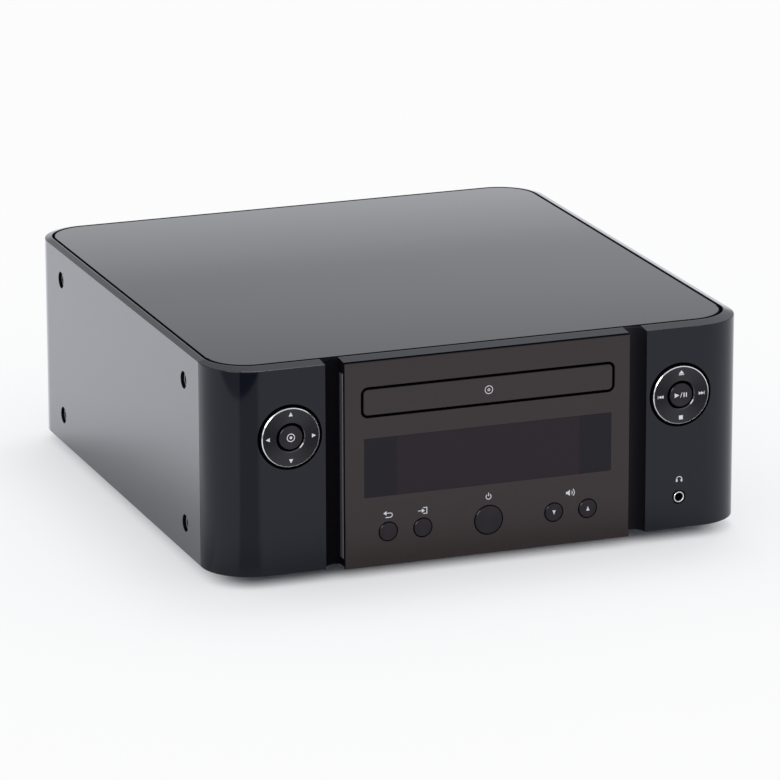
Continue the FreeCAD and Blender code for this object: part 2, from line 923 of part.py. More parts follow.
SIDE_SCREW_PLACES = [
    (y, case_low + height)
    for y in (wing_y + S.side_screw_setback, rear_y - S.side_screw_rear_setback)
    for height in (S.side_screw_low, S.side_screw_high)
]
counterbore_x = half_width - S.counterbore_deep
rear_screw_low_z = chassis_top + S.rear_flange_high / 2
rear_screw_high_z = deck_low - S.rear_screw_down
REAR_SCREW_PLACES = [
    (-rear_screw_x, rear_screw_low_z),
    (as_size(0), rear_screw_low_z),
    (rear_screw_x, rear_screw_low_z),
    (-rear_screw_x, rear_screw_high_z),
    (rear_screw_x, rear_screw_high_z),
]
FOOT_PLACES = [
    (x, y) for x in (-foot_x, foot_x) for y in (foot_front_y, foot_rear_y)
]
tab_y = block_back + S.tab_long - S.tab_screw_inset
TAB_PLACES = [(x, tab_y) for x in (-tab_outer_x, -S.tab_inner_x, S.tab_inner_x, tab_outer_x)]
MAIN_BOARD_SCREWS = [
    (x, y)
    for x in (S.main_board_left + S.board_screw_inset, main_board_right - S.board_screw_inset)
    for y in (main_board_front + S.board_screw_inset, board_end - S.board_screw_inset)
]
SUPPLY_BOARD_SCREWS = [
    (x, y)
    for x in (supply_board_left + S.board_screw_inset, S.supply_board_right - S.board_screw_inset)
    for y in (supply_board_front + S.board_screw_inset, board_end - S.board_screw_inset)
]
FRONT_POST_PLACES = [
    (x, z) for x in (-front_post_x, front_post_x) for z in (S.front_post_low, S.front_post_high)
]


def make_screws():
    screws = []
    for y, z in SIDE_SCREW_PLACES:
        screws.append(screw("side_screw", -counterbore_x, y, z, HEAD_LEFT))
        screws.append(screw("side_screw", counterbore_x, y, z, HEAD_RIGHT))
    for x, z in REAR_SCREW_PLACES:
        screws.append(screw("rear_screw", x, panel_rear, z, HEAD_BACK))
    for x, y in FOOT_PLACES:
        screws.append(screw("foot_screw", x, y, S.foot_screw_seat, HEAD_DOWN))
    for x, y in TAB_PLACES:
        screws.append(screw("tab_screw", x, y, chassis_low, HEAD_DOWN))
    for x, y in LEG_PLACES:
        screws.append(screw("leg_screw", x, y, chassis_low, HEAD_DOWN))
    for x, y in MAIN_BOARD_SCREWS + SUPPLY_BOARD_SCREWS:
        screws.append(screw("board_screw", x, y, board_top, HEAD_UP))
    for x, z in FRONT_POST_PLACES:
        screws.append(screw("post_screw", x, board_rear, z, HEAD_BACK))
    keep(group("pan_head_screws", screws))


screw_hole = S.screw_shank / 2 + S.screw_play


# Cabinet: one outline for the cover and the front panel

def make_outer_form(name):
    """The closed block with round corners and the sloped rim up to the plate's opening."""
    body = body_named(name)
    outline = rounded(-half_width, half_width, wing_y, rear_y, S.corner_radius)
    pad_z(body, [outline], case_low, side_top)
    base = sketch_in(body, "XY_Plane", [outline], z=side_top)
    rim = sketch_in(body, "XY_Plane", [opening_outline(S.rim_land)], z=top_z)
    slope = body.newObject("PartDesign::AdditiveLoft", f"{name}_slope")
    slope.Profile = base
    slope.Sections = [rim]
    slope.Ruled = True
    dress(body, "Fillet", S.rim_round, lies_at("Z", side_top))
    return body


def opening_outline(land=0):
    """The edge of the plate's opening, or the outer edge of the flat land round it."""
    return rounded(-opening_half - land, opening_half + land, opening_front - land, opening_rear + land,
                   S.rim_radius + land)


def make_shell():
    """The cabinet's walls, before it is parted into the cover and the front panel."""
    outer = make_outer_form("cabinet_outside")
    inside = body_named("cabinet_inside")
    inner_outline = rounded(-inner_half, inner_half, wing_back, rear_y - S.wall, inner_radius)
    pad_z(inside, [inner_outline], case_low - beyond, deck_low)
    bed = body_named("plate_bed")
    pad_z(bed, [opening_outline()], deck_top, top_z + beyond)
    return cut("cabinet_shell", outer, [inside, bed])


def make_cover(shell):
    side_room = half_width + beyond
    behind = box("behind_seam", -side_room, side_room, seam_y + S.seam_gap / 2, rear_y + beyond,
                 case_low - beyond, top_z + beyond)
    bosses = []
    holes = []
    for y, z in SIDE_SCREW_PLACES:
        for side, word in SIDES:
            inner_end = inner_half - S.boss_reach
            low, high = both(side, inner_end, half_width - S.wall / 2)
            bosses.append(cylinder(f"{word}_boss", low, y, z, S.boss_radius, high - low, ALONG_X))
            low, high = both(side, counterbore_x, half_width + beyond)
            holes.append(cylinder(f"{word}_counterbore", low, y, z, S.counterbore / 2, high - low, ALONG_X))
            low, high = both(side, inner_end - beyond, half_width)
            holes.append(cylinder(f"{word}_screw_hole", low, y, z, screw_hole, high - low, ALONG_X))
    boss_rear = panel_front - S.seat_gap
    for side, word in SIDES:
        low, high = both(side, rear_screw_x - S.rear_boss_width / 2,
                         rear_screw_x + S.rear_boss_width / 2)
        bosses.append(box(f"{word}_rear_boss", low, high, boss_rear - S.rear_boss_long, boss_rear,
                          deck_low - S.rear_boss_high, deck_low + S.deck / 2))
        holes.append(cylinder(f"{word}_rear_hole", side * rear_screw_x,
                              panel_rear - S.screw_length - S.screw_play, rear_screw_high_z,
                              screw_hole, S.screw_length, ALONG_Y))
    mouth_half = half_width - S.corner_radius - S.rear_lip
    holes.append(box("rear_mouth", -mouth_half, mouth_half, rear_y - S.wall - beyond, rear_y + beyond,
                     case_low - beyond, side_top - S.rear_rail))
    part = common("cover_walls", shell, behind)
    keep(cut("cabinet_cover", fuse("cover_blank", [part] + bosses), holes))


def make_top_plate():
    body = body_named("top_plate")
    half = opening_half - S.plate_gap
    pad_z(body, [rounded(-half, half, opening_front + S.plate_gap, opening_rear - S.plate_gap,
                         S.rim_radius - S.plate_gap)], deck_top, top_z)
    dress(body, "Chamfer", S.plate_chamfer, lies_at("Z", top_z))
    keep(body)


# Front panel

ring_z = case_low + S.ring_height
key_z = case_low + S.key_height
jack_z = case_low + S.jack_height
flexure_axis_y = wing_back + S.ring_flange_gap + S.ring_flange_thick + S.ring_tilt_gap + S.flexure_thick / 2
door_low_z = case_low + S.door_low
door_high_z = case_low + S.door_high
slot_half = S.door_half + S.door_gap
slot_low = door_low_z - S.door_gap
slot_high = door_high_z + S.door_gap
window_low_z = case_low + S.window_low
window_high_z = case_low + S.window_high
KEYS = [
    ("back_button", -S.key_outer_x, S.key_radius),
    ("input_button", -S.key_inner_x, S.key_radius),
    ("power_button", as_size(0), S.power_radius),
    ("volume_down_button", S.key_inner_x, S.key_radius),
    ("volume_up_button", S.key_outer_x, S.key_radius),
]


def groove_cutter(side, word):
    """The scooped groove beside the centre block: a flat floor, then a quarter round up to the wing."""
    low = case_low - beyond
    tall = top_z + beyond - low
    round_x = groove_out - S.groove_depth
    near, far = both(side, S.block_half, round_x)
    flat = box(f"{word}_groove_flat", near, far, wing_y - beyond, groove_floor, low, low + tall)
    near, far = both(side, round_x, groove_out)
    front = box(f"{word}_groove_front", near, far, wing_y - beyond, wing_y, low, low + tall)
    return [flat, front, quarter_round(f"{word}_groove_scoop", side, S.groove_depth, low, tall)]


def quarter_round(name, side, radius, low, tall):
    """A quarter cylinder behind the wing's face, about the line that the groove's round turns on."""
    item = cylinder(name, side * (groove_out - S.groove_depth), wing_y, low, radius, tall,
                    UPRIGHT if side > 0 else QUARTER_TURN)
    item.Angle = QUARTER
    return item


def groove_walls(side, word):
    """The walls behind the groove: the block's side, the floor and the round that follows the scoop."""
    low = case_low
    high = deck_low + S.deck / 2
    rear = groove_floor + S.groove_wall
    near, far = both(side, S.block_half - S.wall, groove_out - S.groove_depth)
    floor = box(f"{word}_groove_wall", near, far, wing_y, rear, low, high)
    outer = S.groove_depth + S.groove_wall
    return [floor, quarter_round(f"{word}_groove_round", side, outer, low, high - low)]


def make_front_panel(shell):
    side_room = half_width + beyond
    ahead = box("ahead_of_seam", -side_room, side_room, wing_y - beyond, seam_y - S.seam_gap / 2,
                case_low - beyond, top_z + beyond)
    added = [common("front_walls", shell, ahead)]
    holes = []
    for side, word in SIDES:
        added += groove_walls(side, word)
        holes += groove_cutter(side, word)
        added += tongue_sides(side, word)
        near, far = both(side, S.block_half - S.strip_thick, S.block_half + beyond)
        holes.append(box(f"{word}_strip_seat", near, far, groove_floor - S.strip_inset - S.strip_deep,
                         groove_floor - S.strip_inset, case_low + S.strip_low, case_low + S.strip_high))
        holes.append(cylinder(f"{word}_well", side * S.ring_x, wing_y - beyond, ring_z,
                              S.well_radius, S.wall + 2 * beyond, ALONG_Y))
        added += flexure_bosses(side, word)
        holes.append(flexure_boss_hole(side, word))
    added += tongue_top()
    for x, z in FRONT_POST_PLACES:
        root = wing_back - S.front_post_root
        added.append(cylinder("board_post", x, root, z, S.front_post_radius, board_front - root, ALONG_Y))
        holes.append(cylinder("post_hole", x, board_rear - S.screw_length - S.screw_play, z,
                              screw_hole, S.screw_length, ALONG_Y))
    for x, y in TAB_PLACES:
        added.append(box("chassis_tab", x - S.tab_wide / 2, x + S.tab_wide / 2, fascia_rear + S.wall / 2,
                         block_back + S.tab_long, chassis_top + S.seat_gap,
                         chassis_top + S.seat_gap + S.tab_high))
        holes.append(cylinder("tab_hole", x, y, chassis_low, screw_hole, S.screw_length + S.screw_play))
    holes += front_panel_openings()
    keep(cut("front_panel", fuse("front_panel_blank", added), holes))


def front_panel_openings():
    room = S.block_half
    step = box("block_face", -room, room, wing_y - beyond, fascia_rear, case_low - beyond, top_z + beyond)
    extra = S.slot_extra
    slot = box("panel_slot", -slot_half - extra, slot_half + extra, wing_y - beyond, block_back + beyond,
               slot_low - extra, slot_high + extra)
    inset = S.aperture_inset
    aperture = box("panel_aperture", inset - S.window_half, S.window_half - inset, wing_y - beyond,
                   block_back + beyond, window_low_z + inset, window_high_z - inset)
    jack_hole = cylinder("panel_jack_hole", S.jack_x, wing_y - beyond, jack_z, S.jack_hole,
                         S.wall + 2 * beyond, ALONG_Y)
    openings = [step, slot, aperture, jack_hole]
    for name, x, radius in KEYS:
        openings.append(cylinder(f"{name}_panel_hole", x, wing_y - beyond, key_z,
                                 radius + S.key_gap + S.key_hole_extra, S.wall + 2 * beyond, ALONG_Y))
    return openings


def tongue_sides(side, word):
    """The lip that laps behind the cover's side wall at the seam."""
    face = inner_half - S.seat_gap
    low = chassis_top + S.seat_gap
    high = deck_low - S.seat_gap
    rear = seam_y - S.seam_gap / 2
    near, far = both(side, face - S.tongue_thick, half_width - S.wall / 2)
    root = box(f"{word}_tongue_root", near, far, rear - S.tongue_root, rear, low, high)
    near, far = both(side, face - S.tongue_thick, face)
    tip = box(f"{word}_tongue_tip", near, far, rear - S.tongue_root, rear + S.tongue_reach, low, high)
    return [root, tip]


def tongue_top():
    face = deck_low - S.seat_gap
    half = inner_half - S.seat_gap
    rear = seam_y - S.seam_gap / 2
    root = box("top_tongue_root", -half, half, rear - S.tongue_root, rear, face - S.tongue_thick,
               deck_low + S.deck / 2)
    tip = box("top_tongue_tip", -half, half, rear - S.tongue_root, rear + S.tongue_reach,
              face - S.tongue_thick, face)
    return [root, tip]


def flexure_bosses(side, word):
    """Two bosses behind the wing, above and below the well, that carry the flexure's pins."""
    bosses = []
    near = S.flexure_outer + S.flexure_boss_gap
    for up, place in ((-1, "low"), (1, "high")):
        low, high = both(up, near, near + S.flexure_boss_high)
        bosses.append(box(f"{word}_{place}_flexure_boss", side * S.ring_x - S.flexure_boss_wide / 2,
                          side * S.ring_x + S.flexure_boss_wide / 2, wing_y + S.wall / 2,
                          flexure_axis_y + S.flexure_thick / 2, ring_z + low, ring_z + high))
    return bosses


def flexure_boss_hole(side, word):
    reach = S.flexure_outer + S.flexure_pin_reach + S.screw_play
    return cylinder(f"{word}_flexure_hole", side * S.ring_x, flexure_axis_y, ring_z - reach,
                    S.flexure_pin + S.fit_gap, 2 * reach)


def make_fascia():
    body = body_named("centre_fascia")
    half = S.block_half - S.fascia_side_gap
    outlines = [
        rectangle(-half, half, case_low - S.fascia_drop, case_low + S.fascia_top),
        rounded(-slot_half, slot_half, slot_low, slot_high, S.door_corner + S.door_gap),
        rectangle(-S.window_half - S.window_gap, S.window_half + S.window_gap,
                  window_low_z - S.window_gap, window_high_z + S.window_gap),
    ]
    outlines += [circle(x, key_z, radius + S.key_gap) for name, x, radius in KEYS]
    pad_y(body, outlines, fascia_front, fascia_rear)
    room = half.value - NEARLY

    def outer_front(edge):
        bounds = edge.BoundBox
        at_front = lies_at("Y", fascia_front)(edge)
        reaches = bounds.XMax > room or bounds.XMin < -room
        return at_front and reaches
    dress(body, "Chamfer", S.edge_break, outer_front)
    keep(body)


def make_window():
    body = body_named("display_window")
    pad_y(body, [rectangle(-S.window_half, S.window_half, window_low_z, window_high_z)],
          fascia_front, fascia_front + S.window_thick)
    keep(body)


def make_tray_door():
    body = body_named("tray_door")
    pad_y(body, [rounded(-S.door_half, S.door_half, door_low_z, door_high_z, S.door_corner)],
          fascia_front, fascia_front + S.door_thick)
    dress(body, "Fillet", S.edge_break, lies_at("Y", fascia_front))
    keep(body)


def make_light_strips():
    strips = []
    for side, word in SIDES:
        near, far = both(side, S.block_half - S.strip_thick, S.block_half - S.fit_gap)
        rear = groove_floor - S.strip_inset
        strips.append(box(f"{word}_strip", near, far, rear - S.strip_deep + S.fit_gap, rear - S.fit_gap,
                          case_low + S.strip_low + S.fit_gap, case_low + S.strip_high - S.fit_gap))
    keep(group("light_strips", strips))


plunger_tip = board_front - S.switch_thick - S.plunger_high
key_front = fascia_front - S.key_proud


def key_profile(radius, front, wall_back, flange, flange_gap, stem, stem_end):
    """Radius and depth of a round key: cap, flange behind the wall, stem towards its switch."""
    flange_front = wall_back + flange_gap
    flange_rear = flange_front + S.key_flange_thick
    return [
        (0, front),
        (radius - S.key_chamfer, front),
        (radius, front + S.key_chamfer),
        (radius, flange_front),
        (flange, flange_front),
        (flange, flange_rear),
        (stem, flange_rear),
        (stem, stem_end),
        (0, stem_end),
    ]


def make_keys():
    stem_end = plunger_tip - S.key_travel - S.key_slack
    for name, x, radius in KEYS:
        profile = key_profile(radius, key_front, block_back, radius + S.key_flange, S.key_flange_gap,
                              S.key_stem, stem_end)
        keep(turned_y(name, profile, x, key_z))


def make_ring(name, side):
    front = wing_y - S.ring_proud
    flange_front = wing_back + S.ring_flange_gap
    flange_rear = flange_front + S.ring_flange_thick
    blank = turned_y(f"{name}_blank", [
        (S.ring_bore + S.ring_bore_chamfer, front),
        (S.ring_radius - S.ring_chamfer, front),
        (S.ring_radius, front + S.ring_chamfer),
        (S.ring_radius, flange_front),
        (S.ring_flange, flange_front),
        (S.ring_flange, flange_rear),
        (S.ring_bore, flange_rear),
        (S.ring_bore, front + S.ring_bore_chamfer),
    ], side * S.ring_x, ring_z)
    added = [blank]
    post_end = plunger_tip - S.ring_post_gap
    for right, up in ((-1, 0), (1, 0), (0, -1), (0, 1)):
        added.append(cylinder(f"{name}_post", side * S.ring_x + right * S.ring_post_at,
                              flange_rear - S.ring_flange_thick / 2, ring_z + up * S.ring_post_at,
                              S.ring_post_radius, post_end - flange_rear + S.ring_flange_thick / 2, ALONG_Y))
    lug_out = S.flexure_inner - S.ring_lug_gap
    for hand, word in SIDES:
        near, far = both(hand, lug_out - S.ring_lug_thick, lug_out)
        added.append(box(f"{name}_{word}_lug", side * S.ring_x + near, side * S.ring_x + far,
                         flange_rear - S.ring_flange_thick / 2, flexure_axis_y + S.flexure_thick / 2,
                         ring_z - S.ring_lug_wide / 2, ring_z + S.ring_lug_wide / 2))
        near, far = both(hand, lug_out - S.ring_lug_thick / 2, S.flexure_inner + S.flexure_pin_reach)
        added.append(cylinder(f"{name}_{word}_pin", side * S.ring_x + near, flexure_axis_y, ring_z,
                              S.flexure_pin, far - near, ALONG_X))
    keep(fuse(name, added))


def make_flexure(name, side):
    """The sprung frame between a ring and the panel: the ring's pins along X, its own along Z."""
    front = flexure_axis_y - S.flexure_thick / 2
    rear = flexure_axis_y + S.flexure_thick / 2
    blank = turned_y(f"{name}_blank", [
        (S.flexure_inner, front),
        (S.flexure_outer, front),
        (S.flexure_outer, rear),
        (S.flexure_inner, rear),
    ], side * S.ring_x, ring_z)
    added = [blank]
    for up, word in ((-1, "low"), (1, "high")):
        low, high = both(up, S.flexure_outer - S.flexure_pin, S.flexure_outer + S.flexure_pin_reach)
        added.append(cylinder(f"{name}_{word}_pin", side * S.ring_x, flexure_axis_y, ring_z + low,
                              S.flexure_pin, high - low))
    reach = S.flexure_inner + S.flexure_pin_reach + S.screw_play
    bore = cylinder(f"{name}_bore", side * S.ring_x - reach, flexure_axis_y, ring_z,
                    S.flexure_pin + S.fit_gap, 2 * reach, ALONG_X)
    keep(cut(name, fuse(f"{name}_solid", added), [bore]))


def make_centre_key(name, side):
    front = wing_y - S.ring_proud
    flange_rear_of_ring = wing_back + S.ring_flange_gap + S.ring_flange_thick
    stem_end = plunger_tip - S.key_travel - S.key_slack
    profile = key_profile(S.enter_radius, front, flange_rear_of_ring, S.enter_flange,
                          S.enter_flange_gap, S.key_stem, stem_end)
    keep(turned_y(name, profile, side * S.ring_x, ring_z))


def make_jack():
    front = wing_back + S.seat_gap
    half_wide = S.jack_body_wide / 2
    half_high = S.jack_body_high / 2
    blank = box("phones_jack_blank", S.jack_x - half_wide, S.jack_x + half_wide, front,
                front + S.jack_body_long, jack_z - half_high, jack_z + half_high)
    bore = cylinder("phones_jack_bore", S.jack_x, front - beyond, jack_z, S.jack_bore,
                    S.jack_body_long - S.jack_end_wall + beyond, ALONG_Y)
    keep(cut("phones_jack", blank, [bore]))
    ring_front = wing_y - S.jack_ring_proud
    keep(turned_y("phones_jack_ring", [
        (S.jack_bore, ring_front + S.jack_ring_flare),
        (S.jack_ring_mouth, ring_front),
        (S.jack_ring_radius - S.jack_ring_break, ring_front),
        (S.jack_ring_radius, ring_front + S.jack_ring_break),
        (S.jack_ring_radius, front),
        (S.jack_bore, front),
    ], S.jack_x, jack_z))


# Front circuit board

def switch_places():
    places = [(x, key_z) for name, x, radius in KEYS]
    for side, word in SIDES:
        for right, up in ((0, 0), (-1, 0), (1, 0), (0, -1), (0, 1)):
            places.append((side * S.ring_x + right * S.ring_post_at, ring_z + up * S.ring_post_at))
    return places


def make_front_board():
    body = body_named("front_circuit_board")
    half = front_board_half
    notch = S.front_board_notch_half
    gap = S.jack_window_gap
    left = S.jack_x - S.jack_body_wide / 2 - gap
    right = S.jack_x + S.jack_body_wide / 2 + gap
    top = jack_z + S.jack_body_high / 2 + gap
    outline = polygon(
        (-half, S.front_board_low), (left, S.front_board_low), (left, top), (right, top),
        (right, S.front_board_low), (half, S.front_board_low),
        (half, S.front_board_high), (notch, S.front_board_high),
        (notch, slot_low - S.front_board_notch_gap), (-notch, slot_low - S.front_board_notch_gap),
        (-notch, S.front_board_high), (-half, S.front_board_high),
    )
    holes = [circle(x, z, screw_hole) for x, z in FRONT_POST_PLACES]
    pad_y(body, [outline] + holes, board_front, board_rear)
    keep(body)


def make_key_switches():
    switches = []
    half = S.switch_wide / 2
    front = board_front - S.switch_thick
    for x, z in switch_places():
        case = box("switch_case", x - half, x + half, front, board_front, z - half, z + half)
        plunger = cylinder("switch_plunger", x, plunger_tip, z, S.plunger_radius,
                           S.plunger_high + S.switch_thick / 2, ALONG_Y)
        switches.append(fuse("key_switch", [case, plunger]))
    keep(group("key_switches", switches))


def make_display():
    middle = (window_low_z + window_high_z) / 2
    half_high = S.display_high / 2
    front = block_back + S.seat_gap
    step = S.display_step
    case = box("display_case", -S.display_half, S.display_half, front + S.display_glass, board_front,
               middle - half_high, middle + half_high)
    glass = box("display_glass", step - S.display_half, S.display_half - step, front,
                front + S.display_glass, middle - half_high + step / 2, middle + half_high - step / 2)
    keep(fuse("display_module", [case, glass]))


# Chassis, rear panel and feet

DIAGONAL = Size(math.sqrt(0.5), "sqrt(0.5)")


def repeat_along_x(body, feature, pitch, count):
    """Copies of a feature at a steady pitch along +X."""
    row = body.newObject("PartDesign::LinearPattern", f"{body.Name}_row")
    row.Originals = [feature]
    row.Direction = (feature.Profile[0], ["H_Axis"])
    bind(row, "Length", pitch * (count - 1))
    bind(row, "Occurrences", count)
    body.Tip = row
    return row


def make_chassis():
    body = body_named("bottom_chassis")
    edge = inner_half - S.seat_gap
    bend = inner_half - inner_radius
    nose = (inner_radius - S.seat_gap) * DIAGONAL
    wing_turn = wing_y + S.corner_radius
    tail = rear_panel_half()
    lip = S.block_half - S.wall - S.seat_gap
    lip_front = block_back + S.seat_gap
    pad_z(body, [polygon(
        (-bend - nose, wing_turn - nose), (-lip, wing_turn - nose), (-lip, lip_front),
        (lip, lip_front), (lip, wing_turn - nose), (bend + nose, wing_turn - nose),
        (edge, wing_turn), (edge, rear_y - S.corner_radius),
        (tail, panel_front), (-tail, panel_front),
        (-edge, rear_y - S.corner_radius), (-edge, wing_turn),
    )], chassis_low, chassis_top)
    near = SIDE_SCREW_PLACES[0][0] - S.upright_wide / 2
    far = SIDE_SCREW_PLACES[-1][0] + S.upright_wide / 2
    flanges = [rectangle(*both(side, flange_in, flange_out), near, far) for side, word in SIDES]
    pad_z(body, flanges, chassis_low, chassis_top + S.flange_high)
    uprights = []
    for y in (SIDE_SCREW_PLACES[0][0], SIDE_SCREW_PLACES[-1][0]):
        for side, word in SIDES:
            uprights.append(rectangle(*both(side, flange_in, flange_out),
                                      y - S.upright_wide / 2, y + S.upright_wide / 2))
    pad_z(body, uprights, chassis_low, case_low + S.side_screw_high + S.boss_radius)
    pad_z(body, [rectangle(-rear_flange_half, rear_flange_half, panel_front - S.chassis_thick,
                           panel_front)], chassis_low, chassis_top + S.rear_flange_high)
    posts = [circle(x, y, S.standoff_radius) for x, y in MAIN_BOARD_SCREWS + SUPPLY_BOARD_SCREWS]
    pad_z(body, posts, chassis_low, standoff_top)
    bores = [circle(x, y, screw_hole) for x, y in MAIN_BOARD_SCREWS + SUPPLY_BOARD_SCREWS]
    pocket_z(body, bores, board_top - S.screw_length - S.screw_play, standoff_top)
    through = [circle(x, y, screw_hole) for x, y in FOOT_PLACES + TAB_PLACES + LEG_PLACES]
    pocket_z(body, through, chassis_low, chassis_top)
    sides = [circle(y, z, screw_hole) for y, z in SIDE_SCREW_PLACES]
    pocket_x(body, sides, -flange_out, flange_out)
    rears = [circle(x, z, screw_hole) for x, z in REAR_SCREW_PLACES[:3]]
    pocket_y(body, rears, panel_front - S.chassis_thick, panel_front)
    vent = pocket_z(body, [rectangle(-S.vent_reach, S.vent_wide - S.vent_reach, vent_front,
                                     vent_front + S.vent_long)], chassis_low, chassis_top)
    repeat_along_x(body, vent, S.vent_pitch, S.vent_count)
    keep(body)


def rear_panel_half():
    return inner_half - S.rear_panel_inset


def make_feet():
    feet = []
    pads = []
    for x, y in FOOT_PLACES:
        feet.append(turned_z("foot", [
            (screw_hole, S.foot_screw_seat),
            (S.foot_bore, S.foot_screw_seat),
            (S.foot_bore, S.pad_thick),
            (S.foot_radius - S.foot_taper, S.pad_thick),
            (S.foot_radius, chassis_low),
            (screw_hole, chassis_low),
        ], x, y))
        pads.append(turned_z("foot_pad", [
            (S.pad_bore, 0),
            (S.pad_radius, 0),
            (S.pad_radius, S.pad_thick),
            (S.pad_bore, S.pad_thick),
        ], x, y))
    keep(group("feet", feet))
    keep(group("foot_pads", pads))


# Circuit boards and heat sink

def board_piece(name, left, right, front, rear, screws):
    blank = box(f"{name}_blank", left, right, front, rear, standoff_top, board_top)
    holes = [cylinder(f"{name}_hole", x, y, standoff_top, screw_hole, S.board_thick) for x, y in screws]
    return cut(f"{name}_plate", blank, holes)


def make_main_board():
    parts = [board_piece("main_board", S.main_board_left, main_board_right, main_board_front,
                         board_end, MAIN_BOARD_SCREWS)]
    half = S.chip_wide / 2
    for turn in turns(S.chip_count):
        x = S.chip_x + turn * S.chip_pitch
        parts.append(box("flat_chip", x - half, x + half, chip_y - half, chip_y + half,
                         board_top, board_top + S.chip_high))
        x = S.sink_x + S.chip_wide + turn * S.chip_pitch
        parts.append(box("power_chip", x - half, x + half, sink_y - S.chip_high, sink_y,
                         board_top, board_top + S.power_chip_high))
    for turn in turns(S.small_capacitor_count):
        x = S.main_board_left + S.small_capacitor_inset + turn * S.small_capacitor_pitch
        parts.append(cylinder("small_capacitor", x, chip_y, board_top, S.small_capacitor_radius,
                              S.small_capacitor_high))
    keep(group("main_circuit_board", parts))


def make_supply_board():
    parts = [board_piece("supply_board", supply_board_left, S.supply_board_right,
                         supply_board_front, board_end, SUPPLY_BOARD_SCREWS)]
    middle = (supply_board_left + S.supply_board_right) / 2
    parts.append(box("transformer", middle - S.transformer_wide / 2, middle + S.transformer_wide / 2,
                     transformer_y - S.transformer_long / 2, transformer_y + S.transformer_long / 2,
                     board_top, board_top + S.transformer_high))
    for turn in turns(S.capacitor_count):
        parts.append(cylinder("large_capacitor", middle, capacitor_y + turn * S.capacitor_pitch,
                              board_top, S.capacitor_radius, S.capacitor_high))
    keep(group("power_supply_board", parts))


def make_heat_sink():
    body = body_named("heat_sink")
    sink_rear = sink_y + S.sink_base
    pad_z(body, [rectangle(S.sink_x, S.sink_x + S.sink_wide, sink_y, sink_rear)],
          board_top, board_top + S.sink_high)
    fin = pad_z(body, [rectangle(S.sink_x, S.sink_x + S.sink_fin_thick, sink_y + S.sink_base / 2,
                                 sink_rear + S.sink_fin_long)], board_top, board_top + S.sink_high)
    repeat_along_x(body, fin, (S.sink_wide - S.sink_fin_thick) / (S.sink_fin_count - 1), S.sink_fin_count)
    keep(body)


# Sockets on the rear panel

inlet_front = panel_rear + S.inlet_proud - S.inlet_deep
speaker_face = panel_rear + S.speaker_proud
speaker_right = S.speaker_left + S.speaker_wide
speaker_top = S.speaker_low + S.speaker_high
lever_y = speaker_face - S.lever_axis_in
lever_z = S.speaker_low + S.lever_axis_up
lever_tip = rear_y + S.terminal_proud
LEVERS = ["left_red_lever", "left_black_lever", "right_red_lever", "right_black_lever"]
lever_first_x = S.speaker_left + (S.speaker_wide - S.speaker_pitch * (len(LEVERS) - 1)) / 2
aerial_z = S.tuner_low + S.tuner_high / 2
OPTICAL_PLACES = [S.optical_x, S.optical_x + S.optical_pitch]


def lever_x(index):
    return lever_first_x + S.speaker_pitch * index


def phono_places():
    first = S.phono_left + (S.phono_wide - S.phono_pitch * (S.phono_columns - 1)) / 2
    heights = (S.phono_low, S.phono_high)
    return [(first + S.phono_pitch * turn, z) for turn in turns(S.phono_columns) for z in heights]


def make_rear_panel():
    body = body_named("rear_panel")
    half = rear_panel_half()
    gap = S.socket_gap
    inset = S.speaker_inset
    pad_y(body, [rectangle(-half, half, chassis_low, deck_low - S.rear_panel_down)], panel_front, panel_rear)
    holes = [circle(x, z, screw_hole) for x, z in REAR_SCREW_PLACES]
    holes += [circle(x, z, S.phono_outer + S.sleeve_hole_gap) for x, z in phono_places()]
    holes.append(circle(S.tuner_x, aerial_z, S.aerial_outer + S.sleeve_hole_gap))
    holes += [
        rectangle(x - S.optical_wide / 2 - gap, x + S.optical_wide / 2 + gap,
                  board_top - gap, board_top + S.optical_high + gap)
        for x in OPTICAL_PLACES
    ]
    for x, wide, high in ((S.usb_x, S.usb_wide, S.usb_high),
                          (S.network_x, S.network_wide, S.network_high)):
        holes.append(rectangle(x - wide / 2 - gap, x + wide / 2 + gap, board_top - gap,
                               board_top + high + gap))
    holes.append(rectangle(S.inlet_x - S.inlet_wide / 2 - gap, S.inlet_x + S.inlet_wide / 2 + gap,
                           S.inlet_z - S.inlet_high / 2 - gap, S.inlet_z + S.inlet_high / 2 + gap))
    holes.append(rectangle(S.speaker_left + inset - gap, speaker_right - inset + gap,
                           S.speaker_low + inset - gap, speaker_top - inset + gap))
    pocket_y(body, holes, panel_front, panel_rear)
    vent = pocket_y(body, [rectangle(S.panel_vent_left, S.panel_vent_left + S.panel_vent_wide,
                                     S.panel_vent_low, S.panel_vent_low + S.panel_vent_high)],
                    panel_front, panel_rear)
    repeat_along_x(body, vent, S.panel_vent_pitch, S.panel_vent_count)
    keep(body)


def make_phono_sockets():
    block = box("phono_block", S.phono_left, S.phono_left + S.phono_wide, panel_front - S.phono_block_deep,
                panel_front, board_top, S.phono_block_top)
    cores = []
    bores = []
    sleeves = []
    end = panel_rear + S.phono_long
    for x, z in phono_places():
        cores.append(cylinder("phono_core", x, panel_front - S.wall, z, S.phono_core,
                              end - panel_front + S.wall - S.phono_core_inset, ALONG_Y))
        bores.append(cylinder("phono_bore", x, panel_front - S.phono_contact_deep, z, S.phono_contact,
                              end - panel_front + S.phono_contact_deep, ALONG_Y))
        outer = cylinder("sleeve_outside", x, panel_front, z, S.phono_outer, end - panel_front, ALONG_Y)
        inner = cylinder("sleeve_inside", x, panel_front - beyond, z, S.phono_core + S.sleeve_gap,
                         end - panel_front + 2 * beyond, ALONG_Y)
        sleeves.append(cut("phono_sleeve", outer, [inner]))
    keep(cut("phono_socket_block", fuse("phono_block_blank", [block] + cores), bores))
    keep(group("phono_sleeves", sleeves))


